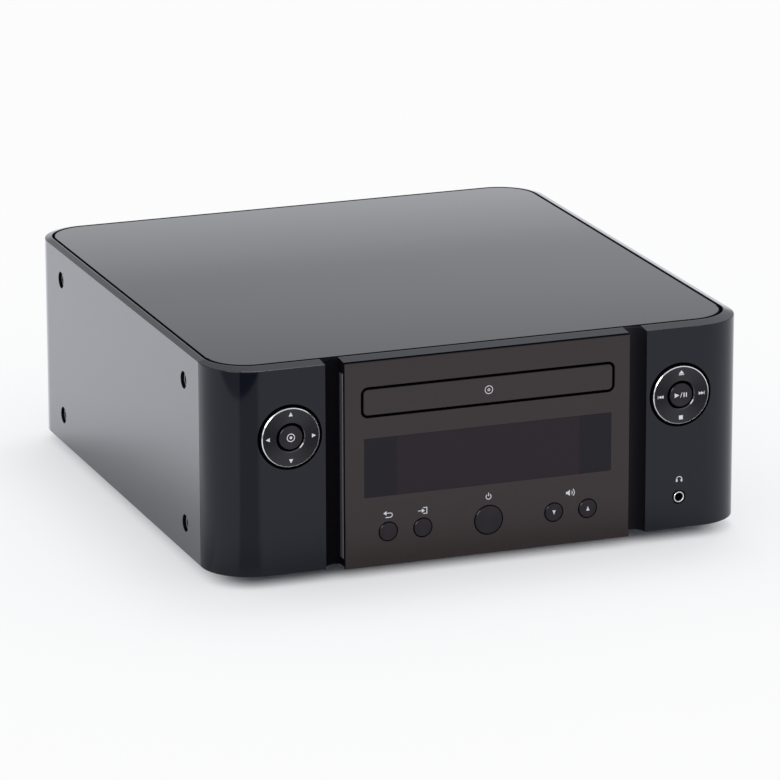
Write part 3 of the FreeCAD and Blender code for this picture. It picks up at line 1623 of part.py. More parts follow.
def open_block(name, x, wide, high, deep, proud, mouth, mouth_deep):
    """A socket on the main board whose mouth, given as width, height and floor, opens to the rear."""
    end = panel_rear + proud
    mouth_wide, mouth_high, mouth_floor = mouth
    blank = box(f"{name}_blank", x - wide / 2, x + wide / 2, end - deep, end, board_top, board_top + high)
    low = board_top + mouth_floor
    hollow = box(f"{name}_mouth", x - mouth_wide / 2, x + mouth_wide / 2, end - mouth_deep, end + beyond,
                 low, low + mouth_high)
    return cut(name, blank, [hollow])


def make_board_sockets():
    floor = (S.optical_high - S.optical_mouth) / 2
    optical = [
        open_block("optical_socket", x, S.optical_wide, S.optical_high, S.optical_deep, S.optical_proud,
                   (S.optical_mouth, S.optical_mouth, floor), S.optical_mouth_deep)
        for x in OPTICAL_PLACES
    ]
    keep(group("optical_sockets", optical))
    keep(open_block("network_socket", S.network_x, S.network_wide, S.network_high, S.network_deep,
                    S.metal_proud, (S.network_mouth_wide, S.network_mouth_high, S.network_mouth_low),
                    S.network_mouth_deep))
    shell = open_block("usb_shell", S.usb_x, S.usb_wide, S.usb_high, S.usb_deep, S.metal_proud,
                       (S.usb_wide - 2 * S.usb_wall, S.usb_high - 2 * S.usb_wall, S.usb_wall),
                       S.usb_deep - S.usb_floor)
    end = panel_rear + S.metal_proud
    tongue_half = S.usb_wide / 2 - S.usb_tongue_inset
    tongue_low = board_top + S.usb_high - S.usb_tongue_down - S.usb_tongue
    tongue = box("usb_tongue", S.usb_x - tongue_half, S.usb_x + tongue_half, end - S.usb_deep,
                 end - S.usb_floor, tongue_low, tongue_low + S.usb_tongue)
    keep(fuse("usb_socket", [shell, tongue]))


def make_antenna_socket():
    can = box("tuner_can", S.tuner_x - S.tuner_wide / 2, S.tuner_x + S.tuner_wide / 2,
              panel_front - S.tuner_deep, panel_front, S.tuner_low, S.tuner_low + S.tuner_high)
    end = panel_rear + S.aerial_long
    collar = cylinder("aerial_collar", S.tuner_x, panel_front - S.wall, aerial_z, S.aerial_outer,
                      end - panel_front + S.wall, ALONG_Y)
    bore = cylinder("aerial_bore", S.tuner_x, panel_front, aerial_z, S.aerial_inner,
                    end - panel_front + beyond, ALONG_Y)
    pin = cylinder("aerial_pin", S.tuner_x, panel_front - S.wall, aerial_z, S.aerial_pin,
                   end - panel_front, ALONG_Y)
    barrel = cut("aerial_barrel", fuse("aerial_blank", [can, collar]), [bore])
    keep(fuse("antenna_socket", [barrel, pin]))


def make_mains_inlet():
    body = body_named("mains_inlet")
    half_wide = S.inlet_wide / 2
    half_high = S.inlet_high / 2
    end = panel_rear + S.inlet_proud
    pad_y(body, [rectangle(S.inlet_x - half_wide, S.inlet_x + half_wide, S.inlet_z - half_high,
                           S.inlet_z + half_high)], inlet_front, end)
    collar = S.inlet_collar
    pad_y(body, [rounded(S.inlet_x - half_wide - collar, S.inlet_x + half_wide + collar,
                         S.inlet_z - half_high - collar, S.inlet_z + half_high + collar, collar)],
          panel_rear, panel_rear + S.inlet_collar_thick)
    floor = end - S.inlet_mouth_deep
    pins = []
    for side, word in SIDES:
        x = S.inlet_x + side * S.inlet_pitch / 2
        pins.append(cylinder(f"{word}_inlet_pin", x, floor - S.wall, S.inlet_z, S.inlet_pin,
                             S.inlet_pin_long + S.wall, ALONG_Y))
    mouth = hull(S.inlet_x - S.inlet_pitch / 2, S.inlet_z, S.inlet_lobe,
                 S.inlet_x + S.inlet_pitch / 2, S.inlet_z, S.inlet_lobe)
    pocket_y(body, [mouth], floor, end)
    seats = [circle(S.inlet_x + side * S.inlet_pitch / 2, S.inlet_z, S.inlet_pin + S.fit_gap)
             for side, word in SIDES]
    pocket_y(body, seats, floor - S.wall, floor)
    keep(body)
    keep(group("mains_inlet_pins", pins))


def make_speaker_terminals():
    inset = S.speaker_inset
    front = panel_front - S.speaker_inside
    added = [
        box("speaker_front", S.speaker_left, speaker_right, panel_rear, speaker_face,
            S.speaker_low, speaker_top),
        box("speaker_back", S.speaker_left + inset, speaker_right - inset, front, panel_rear,
            S.speaker_low + inset, speaker_top - inset),
    ]
    holes = []
    contacts = []
    half = S.lever_wide / 2 + S.lever_side_gap
    tag_z = S.speaker_low + S.wire_hole_up
    for index, name in enumerate(LEVERS):
        x = lever_x(index)
        holes.append(box(f"{name}_slot", x - half, x + half, speaker_face - S.lever_slot_deep,
                         speaker_face + beyond, lever_z - S.lever_slot_below, lever_z + S.lever_slot_above))
        reach = S.lever_wide / 2 + S.lever_pin_reach + S.screw_play
        holes.append(cylinder(f"{name}_pivot_bore", x - reach, lever_y, lever_z, S.lever_pin + S.fit_gap,
                              2 * reach, ALONG_X))
        holes.append(cylinder(f"{name}_wire_hole", x, speaker_face - S.wire_hole_deep, tag_z,
                              S.wire_hole, S.wire_hole_deep + beyond, ALONG_Y))
        contacts.append(box("speaker_contact", x - S.contact_thick / 2, x + S.contact_thick / 2,
                            front - S.contact_long, front, tag_z - S.contact_high / 2,
                            tag_z + S.contact_high / 2))
    keep(cut("speaker_terminal_block", fuse("speaker_blank", added), holes))
    keep(group("speaker_contacts", contacts))


def make_levers():
    for index, name in enumerate(LEVERS):
        x = lever_x(index)
        half = S.lever_wide / 2
        flap = body_named(f"{name}_flap")
        top = lever_z + S.lever_thick / 2
        low = lever_z - S.lever_thick / 2
        pad_x(flap, [polygon((lever_y, low), (lever_tip - S.lever_thick, low),
                             (lever_tip - S.lever_thick, low - S.lever_lip), (lever_tip, low - S.lever_lip),
                             (lever_tip, top), (lever_y, top))], x - half, x + half)
        barrel = cylinder(f"{name}_barrel", x - half, lever_y, lever_z, S.lever_barrel, S.lever_wide,
                          ALONG_X)
        reach = half + S.lever_pin_reach
        pins = cylinder(f"{name}_pins", x - reach, lever_y, lever_z, S.lever_pin, 2 * reach, ALONG_X)
        keep(fuse(name, [flap, barrel, pins]))


# Disc mechanism: the tray and what drives it

disc_y = wing_y + S.disc_setback
tray_rear = wing_y + S.tray_rear_setback
pinion_y = wing_y + S.pinion_setback
loader_front = wing_y + S.loader_front_setback
loader_rear = wing_y + S.loader_rear_setback
loader_window_front = wing_y + S.loader_window_front_setback
loader_window_rear = wing_y + S.loader_window_rear_setback
guide_front_y = wing_y + S.guide_front_setback
guide_rear_y = wing_y + S.guide_rear_setback
leg_front_y = wing_y + S.leg_front_setback
leg_rear_y = wing_y + S.leg_rear_setback
bridge_front = wing_y + S.bridge_front_setback
bridge_rear = wing_y + S.bridge_rear_setback
traverse_front = wing_y + S.traverse_front_setback
traverse_pivot_y = wing_y + S.traverse_pivot_setback
traverse_window_front = wing_y + S.traverse_window_front_setback
traverse_window_rear = wing_y + S.traverse_window_rear_setback
rod_front = wing_y + S.rod_front_setback
rod_rear = wing_y + S.rod_rear_setback
sled_motor_front = wing_y + S.sled_motor_setback
PI = Size(math.pi, "pi")
tooth_pitch = PI * S.tooth_module
pinion_radius = S.tooth_module * S.pinion_teeth / 2
rack_root_x = S.rack_base - S.tray_half + S.rack_inset
rack_pitch_x = rack_root_x + S.dedendum * S.tooth_module
pinion_x = rack_pitch_x + pinion_radius
tray_front = fascia_front + S.door_thick + S.tray_front_gap
tray_low = door_low_z + S.tray_up
tray_top = tray_low + S.tray_thick
rack_low = tray_low - S.rack_high
rack_first_y = pinion_y - tooth_pitch
pulley_low = S.loader_low + S.loader_floor + S.pulley_gap
loader_floor_top = S.loader_low + S.loader_floor
ledge_top = tray_low - S.guide_gap
bridge_low = tray_top + S.bridge_above_tray
LEG_PLACES = [(side * S.leg_x, y) for side, word in SIDES for y in (leg_front_y, leg_rear_y)]
belt_middle = pulley_low + S.pulley_thick / 2


def make_disc_tray():
    body = body_named("disc_tray")
    pad_z(body, [rectangle(-S.tray_half, S.tray_half, tray_front, tray_rear)], tray_low, tray_top)
    pocket_z(body, [circle(0, disc_y, S.tray_disc)], tray_top - S.tray_disc_deep, tray_top)
    pocket_z(body, [circle(0, disc_y, S.tray_small_disc)],
             tray_top - S.tray_disc_deep - S.tray_small_deep, tray_top)
    pocket_z(body, [rectangle(-S.tray_slot, S.tray_slot, disc_y, tray_rear + beyond)],
             tray_low, tray_top)
    pocket_z(body, [circle(0, disc_y, S.tray_slot)], tray_low, tray_top)
    rack_end = rack_first_y + tooth_pitch * (S.rack_teeth - 1) + tooth_pitch / 2
    pad_z(body, [rectangle(rack_root_x - S.rack_base, rack_root_x, rack_first_y - tooth_pitch / 2,
                           rack_end)], rack_low, tray_low + S.rack_root)
    # A rack tooth: straight sides at the pressure angle, cut back by the play
    slope = math.tan(math.radians(S.pressure_angle.value))
    lean = Size(slope, f"tan({S.pressure_angle.text} * 1 deg)")
    middle = tooth_pitch / 4 - S.tooth_play / 2
    root_half = middle + lean * (rack_pitch_x - rack_root_x)
    tip_x = rack_pitch_x + S.rack_addendum * S.tooth_module
    tip_half = middle - lean * S.rack_addendum * S.tooth_module
    tooth = pad_z(body, [polygon(
        (rack_root_x - S.rack_base / 2, rack_first_y - root_half),
        (rack_root_x, rack_first_y - root_half),
        (tip_x, rack_first_y - tip_half),
        (tip_x, rack_first_y + tip_half),
        (rack_root_x, rack_first_y + root_half),
        (rack_root_x - S.rack_base / 2, rack_first_y + root_half),
    )], rack_low, tray_low)
    row = body.newObject("PartDesign::LinearPattern", "disc_tray_rack")
    row.Originals = [tooth]
    row.Direction = (tooth.Profile[0], ["V_Axis"])
    bind(row, "Length", tooth_pitch * (S.rack_teeth - 1))
    bind(row, "Occurrences", S.rack_teeth)
    body.Tip = row
    keep(body)


def gear_outline(teeth, module, pressure, play, dedendum, steps):
    """Corner points of an involute pinion whose gap faces -X, about its own centre."""
    pitch_radius = module * teeth / 2
    base_radius = pitch_radius * math.cos(pressure)
    root_radius = pitch_radius - dedendum * module
    tip_radius = pitch_radius + module
    half_tooth = math.pi / (2 * teeth) - play / (2 * pitch_radius) + math.tan(pressure) - pressure
    flank = [(root_radius, half_tooth)]
    for step in range(steps):
        radius = base_radius + (tip_radius - base_radius) * step / (steps - 1)
        roll = math.acos(base_radius / radius)
        flank.append((radius, half_tooth - math.tan(roll) + roll))
    points = []
    for tooth in range(teeth):
        middle = math.pi + 2 * math.pi * (tooth + 0.5) / teeth
        points += [(radius, middle - angle) for radius, angle in flank]
        points += [(radius, middle + angle) for radius, angle in reversed(flank)]
    return [Vector(radius * math.cos(angle), radius * math.sin(angle), 0) for radius, angle in points]


def make_tray_gear():
    points = gear_outline(int(S.pinion_teeth.value), S.tooth_module.value,
                          math.radians(S.pressure_angle.value), S.tooth_play.value, S.dedendum.value,
                          int(S.flank_points.value))
    face = Part.Face(Part.makePolygon(points + points[:1]))
    pinion = doc.addObject("Part::Feature", "tray_pinion")
    pinion.Shape = face.extrude(Vector(0, 0, S.pinion_high.value))
    pinion_top = tray_low - S.pinion_gap
    bind_place(pinion, pinion_x, pinion_y, pinion_top - S.pinion_high)
    hub = turned_z("tray_gear_hub", pulley_profile(S.pulley_radius, S.hub_radius, pinion_top),
                   pinion_x, pinion_y)
    bore = cylinder("tray_gear_bore", pinion_x, pinion_y, pulley_low - beyond,
                    S.pinion_axle + S.fit_gap, pinion_top - pulley_low + 2 * beyond)
    keep(cut("tray_gear", fuse("tray_gear_solid", [pinion, hub]), [bore]))


def pulley_profile(radius, hub, top):
    """Radius and height of a grooved pulley with a hub above it."""
    groove = radius - S.pulley_groove
    return [
        (0, pulley_low),
        (radius, pulley_low),
        (radius, belt_middle - S.groove_high / 2),
        (groove, belt_middle - S.groove_high / 2),
        (groove, belt_middle + S.groove_high / 2),
        (radius, belt_middle + S.groove_high / 2),
        (radius, pulley_low + S.pulley_thick),
        (hub, pulley_low + S.pulley_thick),
        (hub, top),
        (0, top),
    ]


def make_loading_drive():
    motor = cylinder("motor_can", S.loader_motor_x, pinion_y, S.loader_low - S.loader_motor_long,
                     S.loader_motor_radius, S.loader_motor_long)
    bore = cylinder("motor_bore", S.loader_motor_x, pinion_y, S.loader_low - S.motor_shaft_deep,
                    S.motor_shaft + S.fit_gap, S.motor_shaft_deep + beyond)
    keep(cut("loading_motor", motor, [bore]))
    shaft_low = S.loader_low - S.motor_shaft_deep + S.seat_gap
    top = pulley_low + S.pulley_thick
    pulley = turned_z("pulley_wheel", pulley_profile(S.motor_pulley, S.motor_shaft, top + S.seat_gap),
                      S.loader_motor_x, pinion_y)
    shaft = cylinder("pulley_shaft", S.loader_motor_x, pinion_y, shaft_low, S.motor_shaft,
                     top - shaft_low)
    keep(fuse("motor_pulley", [pulley, shaft]))
    belt = body_named("loading_belt")
    near = S.pulley_radius - S.pulley_groove + S.belt_slack
    far = S.motor_pulley - S.pulley_groove + S.belt_slack
    pad_z(belt, [hull(pinion_x, pinion_y, near + extra, S.loader_motor_x, pinion_y, far + extra)
                 for extra in (as_size(0), S.belt_thick)],
          belt_middle - S.belt_high / 2, belt_middle + S.belt_high / 2)
    keep(belt)


# Disc mechanism: the frame that carries everything

def make_loader_frame():
    added = []
    holes = []
    floor = box("loader_floor", -S.loader_half, S.loader_half, loader_front, loader_rear,
                S.loader_low, loader_floor_top)
    added.append(floor)
    holes.append(box("loader_window", -S.loader_window_half, S.loader_window_half, loader_window_front,
                     loader_window_rear, S.loader_low - beyond, loader_floor_top + beyond))
    for side, word in SIDES:
        wall_in = S.loader_half - S.loader_wall
        added.append(box(f"{word}_loader_wall", *both(side, wall_in, S.loader_half), loader_front,
                         loader_rear, S.loader_low, bridge_low))
        added.append(box(f"{word}_ledge", *both(side, wall_in - S.ledge_wide, wall_in), loader_front,
                         loader_rear, ledge_top - S.ledge_thick, ledge_top))
        for y in (guide_front_y, guide_rear_y):
            added.append(box(f"{word}_guide_tab", *both(side, wall_in - S.guide_tab_wide, wall_in),
                             y, y + S.guide_tab_long, tray_top + S.guide_gap,
                             tray_top + S.guide_gap + S.guide_tab_high))
        added.append(box(f"{word}_ear", *both(side, S.loader_window_half + S.ear_inset,
                                              S.loader_window_half + S.ear_inset + S.ear_thick),
                         traverse_pivot_y - S.ear_half, traverse_pivot_y + S.ear_half,
                         S.loader_low, traverse_z + S.ear_half))
        ear_end = S.loader_window_half + S.ear_inset + S.ear_thick
        low, high = both(side, S.loader_window_half, ear_end + beyond)
        holes.append(cylinder(f"{word}_ear_hole", low, traverse_pivot_y, traverse_z,
                              S.traverse_pin + S.fit_gap, high - low, ALONG_X))
    for x, y in LEG_PLACES:
        added.append(cylinder("loader_leg", x, y, chassis_top, S.loader_leg, loader_floor_top - chassis_top))
        holes.append(cylinder("leg_hole", x, y, chassis_top - beyond, screw_hole,
                              S.screw_length - S.chassis_thick + S.screw_play + beyond))
    added.append(cylinder("axle_boss", pinion_x, pinion_y, S.loader_low, S.hub_radius,
                          pulley_low - S.seat_gap - S.loader_low))
    added.append(cylinder("gear_axle", pinion_x, pinion_y, S.loader_low, S.pinion_axle,
                          tray_low - S.pinion_gap - S.loader_low))
    holes.append(cylinder("motor_shaft_hole", S.loader_motor_x, pinion_y, S.loader_low - beyond,
                          S.motor_shaft + S.shaft_gap, S.loader_floor + 2 * beyond))
    added += cam_rail()
    keep(cut("loader_frame", fuse("loader_solid", added), holes))


traverse_z = S.traverse_low + S.traverse_thick / 2
cam_front = loader_window_front + S.cam_gap
cam_rear = cam_front + S.cam_thick
cam_reach = traverse_pivot_y - (cam_front + cam_rear) / 2
tilt = Size(math.sin(math.radians(S.traverse_tilt.value)), f"sin({S.traverse_tilt.text} * 1 deg)")
cam_drop = cam_reach * tilt
cam_slot_radius = S.cam_pin + S.cam_slot_play
cam_low = traverse_z - cam_drop - cam_slot_radius - S.cam_slot_end
cam_high = traverse_z + cam_slot_radius + S.cam_slot_end
cam_left = -S.cam_travel - cam_slot_radius - S.cam_end
cam_right = cam_slot_radius + S.cam_end


def cam_rail():
    """The channel under the floor's front edge that the cam slider runs in."""
    left = cam_left - S.cam_rail_end
    right = cam_right + S.cam_travel + S.cam_rail_end
    shelf_top = cam_low - S.seat_gap
    lip_front = cam_rear + S.seat_gap
    web = box("cam_rail_web", left, right, loader_window_front - S.cam_rail_thick, loader_window_front,
              shelf_top - S.cam_rail_thick, S.loader_low + S.loader_floor / 2)
    shelf = box("cam_rail_shelf", left, right, loader_window_front - S.cam_rail_thick,
                lip_front + S.cam_lip_thick, shelf_top - S.cam_rail_thick, shelf_top)
    lip = box("cam_rail_lip", left, right, lip_front, lip_front + S.cam_lip_thick,
              shelf_top - S.cam_rail_thick, shelf_top + S.cam_lip_high)
    return [web, shelf, lip]


def make_cam_slider():
    body = body_named("cam_slider")
    pad_y(body, [
        rectangle(cam_left, cam_right, cam_low, cam_high),
        hull(-S.cam_travel, traverse_z - cam_drop, cam_slot_radius, 0, traverse_z, cam_slot_radius),
    ], cam_front, cam_rear)
    keep(body)


def make_bridge_and_clamper():
    body = body_named("clamper_bridge")
    pad_z(body, [
        rectangle(-S.loader_half, S.loader_half, bridge_front, bridge_rear),
        circle(0, disc_y, S.bridge_hole),
    ], bridge_low, bridge_low + S.bridge_thick)
    keep(body)
    clamp_low = table_seat + S.clamper_gap
    flange_low = bridge_low + S.bridge_thick + S.seat_gap
    keep(turned_z("disc_clamper", [
        (0, clamp_low + S.clamper_recess_deep),
        (S.clamper_recess, clamp_low + S.clamper_recess_deep),
        (S.clamper_recess, clamp_low),
        (S.clamper_radius, clamp_low),
        (S.clamper_radius, clamp_low + S.clamper_thick),
        (S.clamper_neck, clamp_low + S.clamper_thick),
        (S.clamper_neck, flange_low),
        (S.clamper_flange, flange_low),
        (S.clamper_flange, flange_low + S.clamper_flange_thick),
        (0, flange_low + S.clamper_flange_thick),
    ], 0, disc_y))


# Disc mechanism: the tilting frame with the turntable and the pickup

traverse_top = S.traverse_low + S.traverse_thick
table_seat = tray_top - S.table_below_tray
rod_z = traverse_top + S.rod_up
sled_bracket_front = sled_motor_front + S.sled_motor_long


def make_traverse_frame():
    body = body_named("traverse_plate")
    outlines = [
        rectangle(-S.traverse_half, S.traverse_half, traverse_front, traverse_pivot_y),
        rectangle(-S.traverse_window_half, S.traverse_window_half, traverse_window_front,
                  traverse_window_rear),
        circle(0, disc_y, S.spindle_shaft + S.shaft_gap),
        rectangle(S.sled_x - S.sled_motor_radius - S.seat_gap, S.sled_x + S.sled_motor_radius + S.seat_gap,
                  sled_motor_front - S.seat_gap, sled_bracket_front),
    ]
    pad_z(body, outlines, S.traverse_low, traverse_top)
    added = [body]
    holes = []
    added.append(cylinder("traverse_pivot", -S.loader_window_half - S.traverse_pin_reach, traverse_pivot_y,
                          traverse_z, S.traverse_pin,
                          2 * (S.loader_window_half + S.traverse_pin_reach), ALONG_X))
    added.append(cylinder("traverse_cam_pin", 0, cam_front, traverse_z, S.cam_pin,
                          traverse_front + S.wall - cam_front, ALONG_Y))
    holder = S.rod_holder
    places = [(x, y) for x in (-S.rod_x, S.rod_x) for y in (rod_front, rod_rear - holder)]
    for x, y in places + [(S.sled_x, rod_rear - holder)]:
        added.append(box("rod_holder", x - S.rod_holder_half, x + S.rod_holder_half, y, y + holder,
                         traverse_z, rod_z + S.rod_holder_half))
    for x in (-S.rod_x, S.rod_x):
        holes.append(cylinder("rod_hole", x, rod_front - beyond, rod_z, S.rod_radius + S.fit_gap,
                              rod_rear - rod_front + 2 * beyond, ALONG_Y))
    bracket_half = S.sled_motor_radius + S.seat_gap
    added.append(box("sled_bracket", S.sled_x - bracket_half, S.sled_x + bracket_half, sled_bracket_front,
                     sled_bracket_front + S.sled_bracket_thick, S.traverse_low, rod_z + S.sled_motor_radius))
    holes.append(cylinder("sled_hole", S.sled_x, sled_bracket_front - beyond, rod_z,
                          S.sled_radius + S.fit_gap, rod_rear - sled_bracket_front + 2 * beyond, ALONG_Y))
    keep(cut("traverse_frame", fuse("traverse_solid", added), holes))


def make_traverse_motors():
    spindle = cylinder("spindle_can", 0, disc_y, S.traverse_low - S.spindle_motor_long,
                       S.spindle_motor_radius, S.spindle_motor_long)
    spindle_bore = cylinder("spindle_bore", 0, disc_y, S.traverse_low - S.shaft_deep,
                            S.spindle_shaft + S.fit_gap, S.shaft_deep + beyond)
    sled = cylinder("sled_can", S.sled_x, sled_motor_front, rod_z, S.sled_motor_radius,
                    S.sled_motor_long, ALONG_Y)
    sled_bore = cylinder("sled_bore", S.sled_x, sled_bracket_front - S.shaft_deep, rod_z,
                         S.sled_radius + S.fit_gap, S.shaft_deep + beyond, ALONG_Y)
    keep(group("traverse_motors", [
        cut("spindle_motor", spindle, [spindle_bore]),
        cut("sled_motor", sled, [sled_bore]),
    ]))


def make_turntable():
    shaft_low = S.traverse_low - S.shaft_deep + S.seat_gap
    boss_top = table_seat + S.table_boss_high
    keep(turned_z("turntable", [
        (0, shaft_low),
        (S.spindle_shaft, shaft_low),
        (S.spindle_shaft, traverse_top + S.table_up),
        (S.table_hub, traverse_top + S.table_up),
        (S.table_hub, table_seat - S.table_thick),
        (S.table_radius, table_seat - S.table_thick),
        (S.table_radius, table_seat),
        (S.table_boss, table_seat),
        (S.table_boss, boss_top - S.table_boss_high / 2),
        (S.table_boss - S.table_boss_high / 2, boss_top),
        (0, boss_top),
    ], 0, disc_y))


def make_pickup():
    front = rod_front + S.rod_holder + S.pickup_gap
    rear = front + S.pickup_long
    middle = (front + rear) / 2
    low = traverse_top + S.pickup_up
    top = low + S.pickup_high
    added = [
        box("pickup_base", -S.pickup_half, S.pickup_half, front, rear, low, top),
        box("pickup_turret", -S.turret_half, S.turret_half, middle - S.turret_half,
            middle + S.turret_half, top, top + S.turret_high),
        cylinder("pickup_lens", 0, middle, top + S.turret_high, S.lens_radius, S.lens_high),
        box("pickup_nut", S.pickup_half, S.sled_x + S.nut_half, middle - S.nut_long / 2,
            middle + S.nut_long / 2, low, rod_z + S.nut_half),
    ]
    holes = [
        cylinder("pickup_bore", x, front - beyond, rod_z, S.rod_radius + S.fit_gap,
                 S.pickup_long + 2 * beyond, ALONG_Y)
        for x in (-S.rod_x, S.rod_x)
    ]
    holes.append(cylinder("nut_bore", S.sled_x, middle - S.nut_long / 2 - beyond, rod_z,
                          S.sled_radius + S.fit_gap, S.nut_long + 2 * beyond, ALONG_Y))
    keep(cut("pickup", fuse("pickup_solid", added), holes))


def make_rods():
    rods = [
        cylinder("pickup_rod", x, rod_front, rod_z, S.rod_radius, rod_rear - rod_front, ALONG_Y)
        for x in (-S.rod_x, S.rod_x)
    ]
    keep(group("pickup_rods", rods))
    front = sled_bracket_front - S.shaft_deep + S.seat_gap
    keep(cylinder("sled_screw", S.sled_x, front, rod_z, S.sled_radius, rod_rear - front, ALONG_Y))


make_screws()
SHELL = make_shell()
make_cover(SHELL)
make_front_panel(SHELL)
make_top_plate()
make_fascia()
make_window()
make_tray_door()
make_light_strips()
make_keys()
for ring_side, ring_word, key_word in ((-1, "menu", "enter"), (1, "transport", "play")):
    make_ring(f"{ring_word}_ring", ring_side)
    make_flexure(f"{ring_word}_ring_flexure", ring_side)
    make_centre_key(f"{key_word}_button", ring_side)
make_jack()
make_front_board()
make_key_switches()
make_display()
make_chassis()
make_rear_panel()
make_feet()
make_main_board()
make_supply_board()
make_heat_sink()
make_phono_sockets()
make_board_sockets()
make_antenna_socket()
make_mains_inlet()
make_speaker_terminals()
make_levers()
make_disc_tray()
make_tray_gear()
make_loading_drive()
make_loader_frame()
make_cam_slider()
make_bridge_and_clamper()
make_traverse_frame()
make_traverse_motors()
make_turntable()
make_pickup()
make_rods()
doc.recompute()

# Nothing is written unless every object is sound
for item in doc.Objects:
    if {"Invalid", "Error"} & set(item.State):
        raise RuntimeError(f"{item.Name} is not sound: {item.State}")
for item in NODES:
    if item.Shape.isNull() or not item.Shape.isValid() or not item.Shape.Solids:
        raise RuntimeError(f"{item.Label} has no valid shape")

os.makedirs("parts", exist_ok=True)
for item in NODES:
    item.Shape.exportStep(f"parts/{item.Label}.step")
    bounds = item.Shape.BoundBox
    print(f"{item.Label}: {len(item.Shape.Solids)} solids, {item.Shape.Volume:.1f} mm3,",
          f"x {bounds.XMin:.2f}..{bounds.XMax:.2f},",
          f"y {bounds.YMin:.2f}..{bounds.YMax:.2f},",
          f"z {bounds.ZMin:.2f}..{bounds.ZMax:.2f}")
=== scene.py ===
# %% [markdown]
# This lesson dresses a compact CD receiver. Its solids were measured and modelled beforehand, in
# millimetres turned to metres, and come in as a fixed frame. Here they get their finishes, the
# printed signs on their faces, the coloured collars of the phono sockets, and the set that they
# stand in. We start by loading the frame and keeping its box, because nothing that we add may grow
# the object.

# %% Load the measured solids
import math

import bmesh
import bpy
from mathutils import Matrix, Vector


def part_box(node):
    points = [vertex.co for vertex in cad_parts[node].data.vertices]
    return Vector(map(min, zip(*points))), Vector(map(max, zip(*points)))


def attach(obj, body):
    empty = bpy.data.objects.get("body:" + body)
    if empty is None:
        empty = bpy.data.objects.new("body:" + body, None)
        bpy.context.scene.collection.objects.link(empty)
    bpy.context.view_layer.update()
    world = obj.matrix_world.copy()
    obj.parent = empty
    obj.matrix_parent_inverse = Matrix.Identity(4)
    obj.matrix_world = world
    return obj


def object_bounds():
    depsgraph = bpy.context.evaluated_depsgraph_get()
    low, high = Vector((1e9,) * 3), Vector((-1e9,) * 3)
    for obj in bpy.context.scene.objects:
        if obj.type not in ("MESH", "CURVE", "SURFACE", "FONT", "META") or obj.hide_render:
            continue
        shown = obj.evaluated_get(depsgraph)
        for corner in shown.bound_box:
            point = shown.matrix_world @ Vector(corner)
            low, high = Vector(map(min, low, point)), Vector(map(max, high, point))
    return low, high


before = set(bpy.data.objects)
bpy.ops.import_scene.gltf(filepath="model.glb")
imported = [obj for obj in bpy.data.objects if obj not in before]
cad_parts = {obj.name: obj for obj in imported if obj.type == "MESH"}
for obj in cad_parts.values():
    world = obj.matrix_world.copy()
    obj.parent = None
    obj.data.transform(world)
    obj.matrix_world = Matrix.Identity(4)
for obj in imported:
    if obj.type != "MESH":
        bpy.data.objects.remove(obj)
solid_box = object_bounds()
MM = 0.001
print("solids loaded:", len(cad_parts), "box in mm:",
      [[round(edge / MM, 1) for edge in corner] for corner in solid_box])

# %% [markdown]
# The camera stands where the photograph was taken from. A long lens far away keeps the edges of the
# box nearly parallel, as they are in the photograph. Its angles and its distance were solved from
# the corners of the case, so here they are plain numbers: we turn them into three directions,
# right, up and back, and those are the columns of the camera's matrix.

# %% Place the camera
AZIMUTH, ELEVATION, ROLL = (math.radians(degrees) for degrees in (-20.524, 16.214, -0.143))
DISTANCE = 2.84676
AIM = Vector((1.43, -10.0, 50.66)) * MM
PHOTO_SIDE = 780
FOCAL_PIXELS = 5544.13
SENSOR, FARTHEST_SEEN = 36.0, 100


def camera_matrix():
    """The camera's place and turn, from its angles, its distance and the point it looks at."""
    back = Vector((math.sin(AZIMUTH) * math.cos(ELEVATION),
                   -math.cos(AZIMUTH) * math.cos(ELEVATION),
                   math.sin(ELEVATION)))
    level_right = Vector((math.cos(AZIMUTH), math.sin(AZIMUTH), 0))
    level_up = back.cross(level_right)
    right = level_right * math.cos(ROLL) + level_up * math.sin(ROLL)
    up = level_up * math.cos(ROLL) - level_right * math.sin(ROLL)
    turn = Matrix((right, up, back)).transposed().to_4x4()
    return Matrix.Translation(AIM + back * DISTANCE) @ turn


lens = bpy.data.cameras.new("photo_camera")
lens.sensor_width = SENSOR
lens.lens = FOCAL_PIXELS * SENSOR / PHOTO_SIDE
lens.clip_end = FARTHEST_SEEN
camera = bpy.data.objects.new("photo_camera", lens)
bpy.context.scene.collection.objects.link(camera)
camera.matrix_world = camera_matrix()
bpy.context.scene.camera = camera
bpy.context.scene.view_settings.view_transform = "Standard"
print("camera at", [round(value, 3) for value in camera.matrix_world.translation],
      "with a lens of", round(lens.lens, 1), "mm")

# %% [markdown]
# A finish is a small tree of nodes, in which even a sum takes a node of its own. Writing such trees
# node by node is slow to read, so two helpers come first. A Value wraps one socket and understands
# plus, minus, times and so on. An expression on Values adds its Math nodes, so shader maths reads
# like ordinary Python.

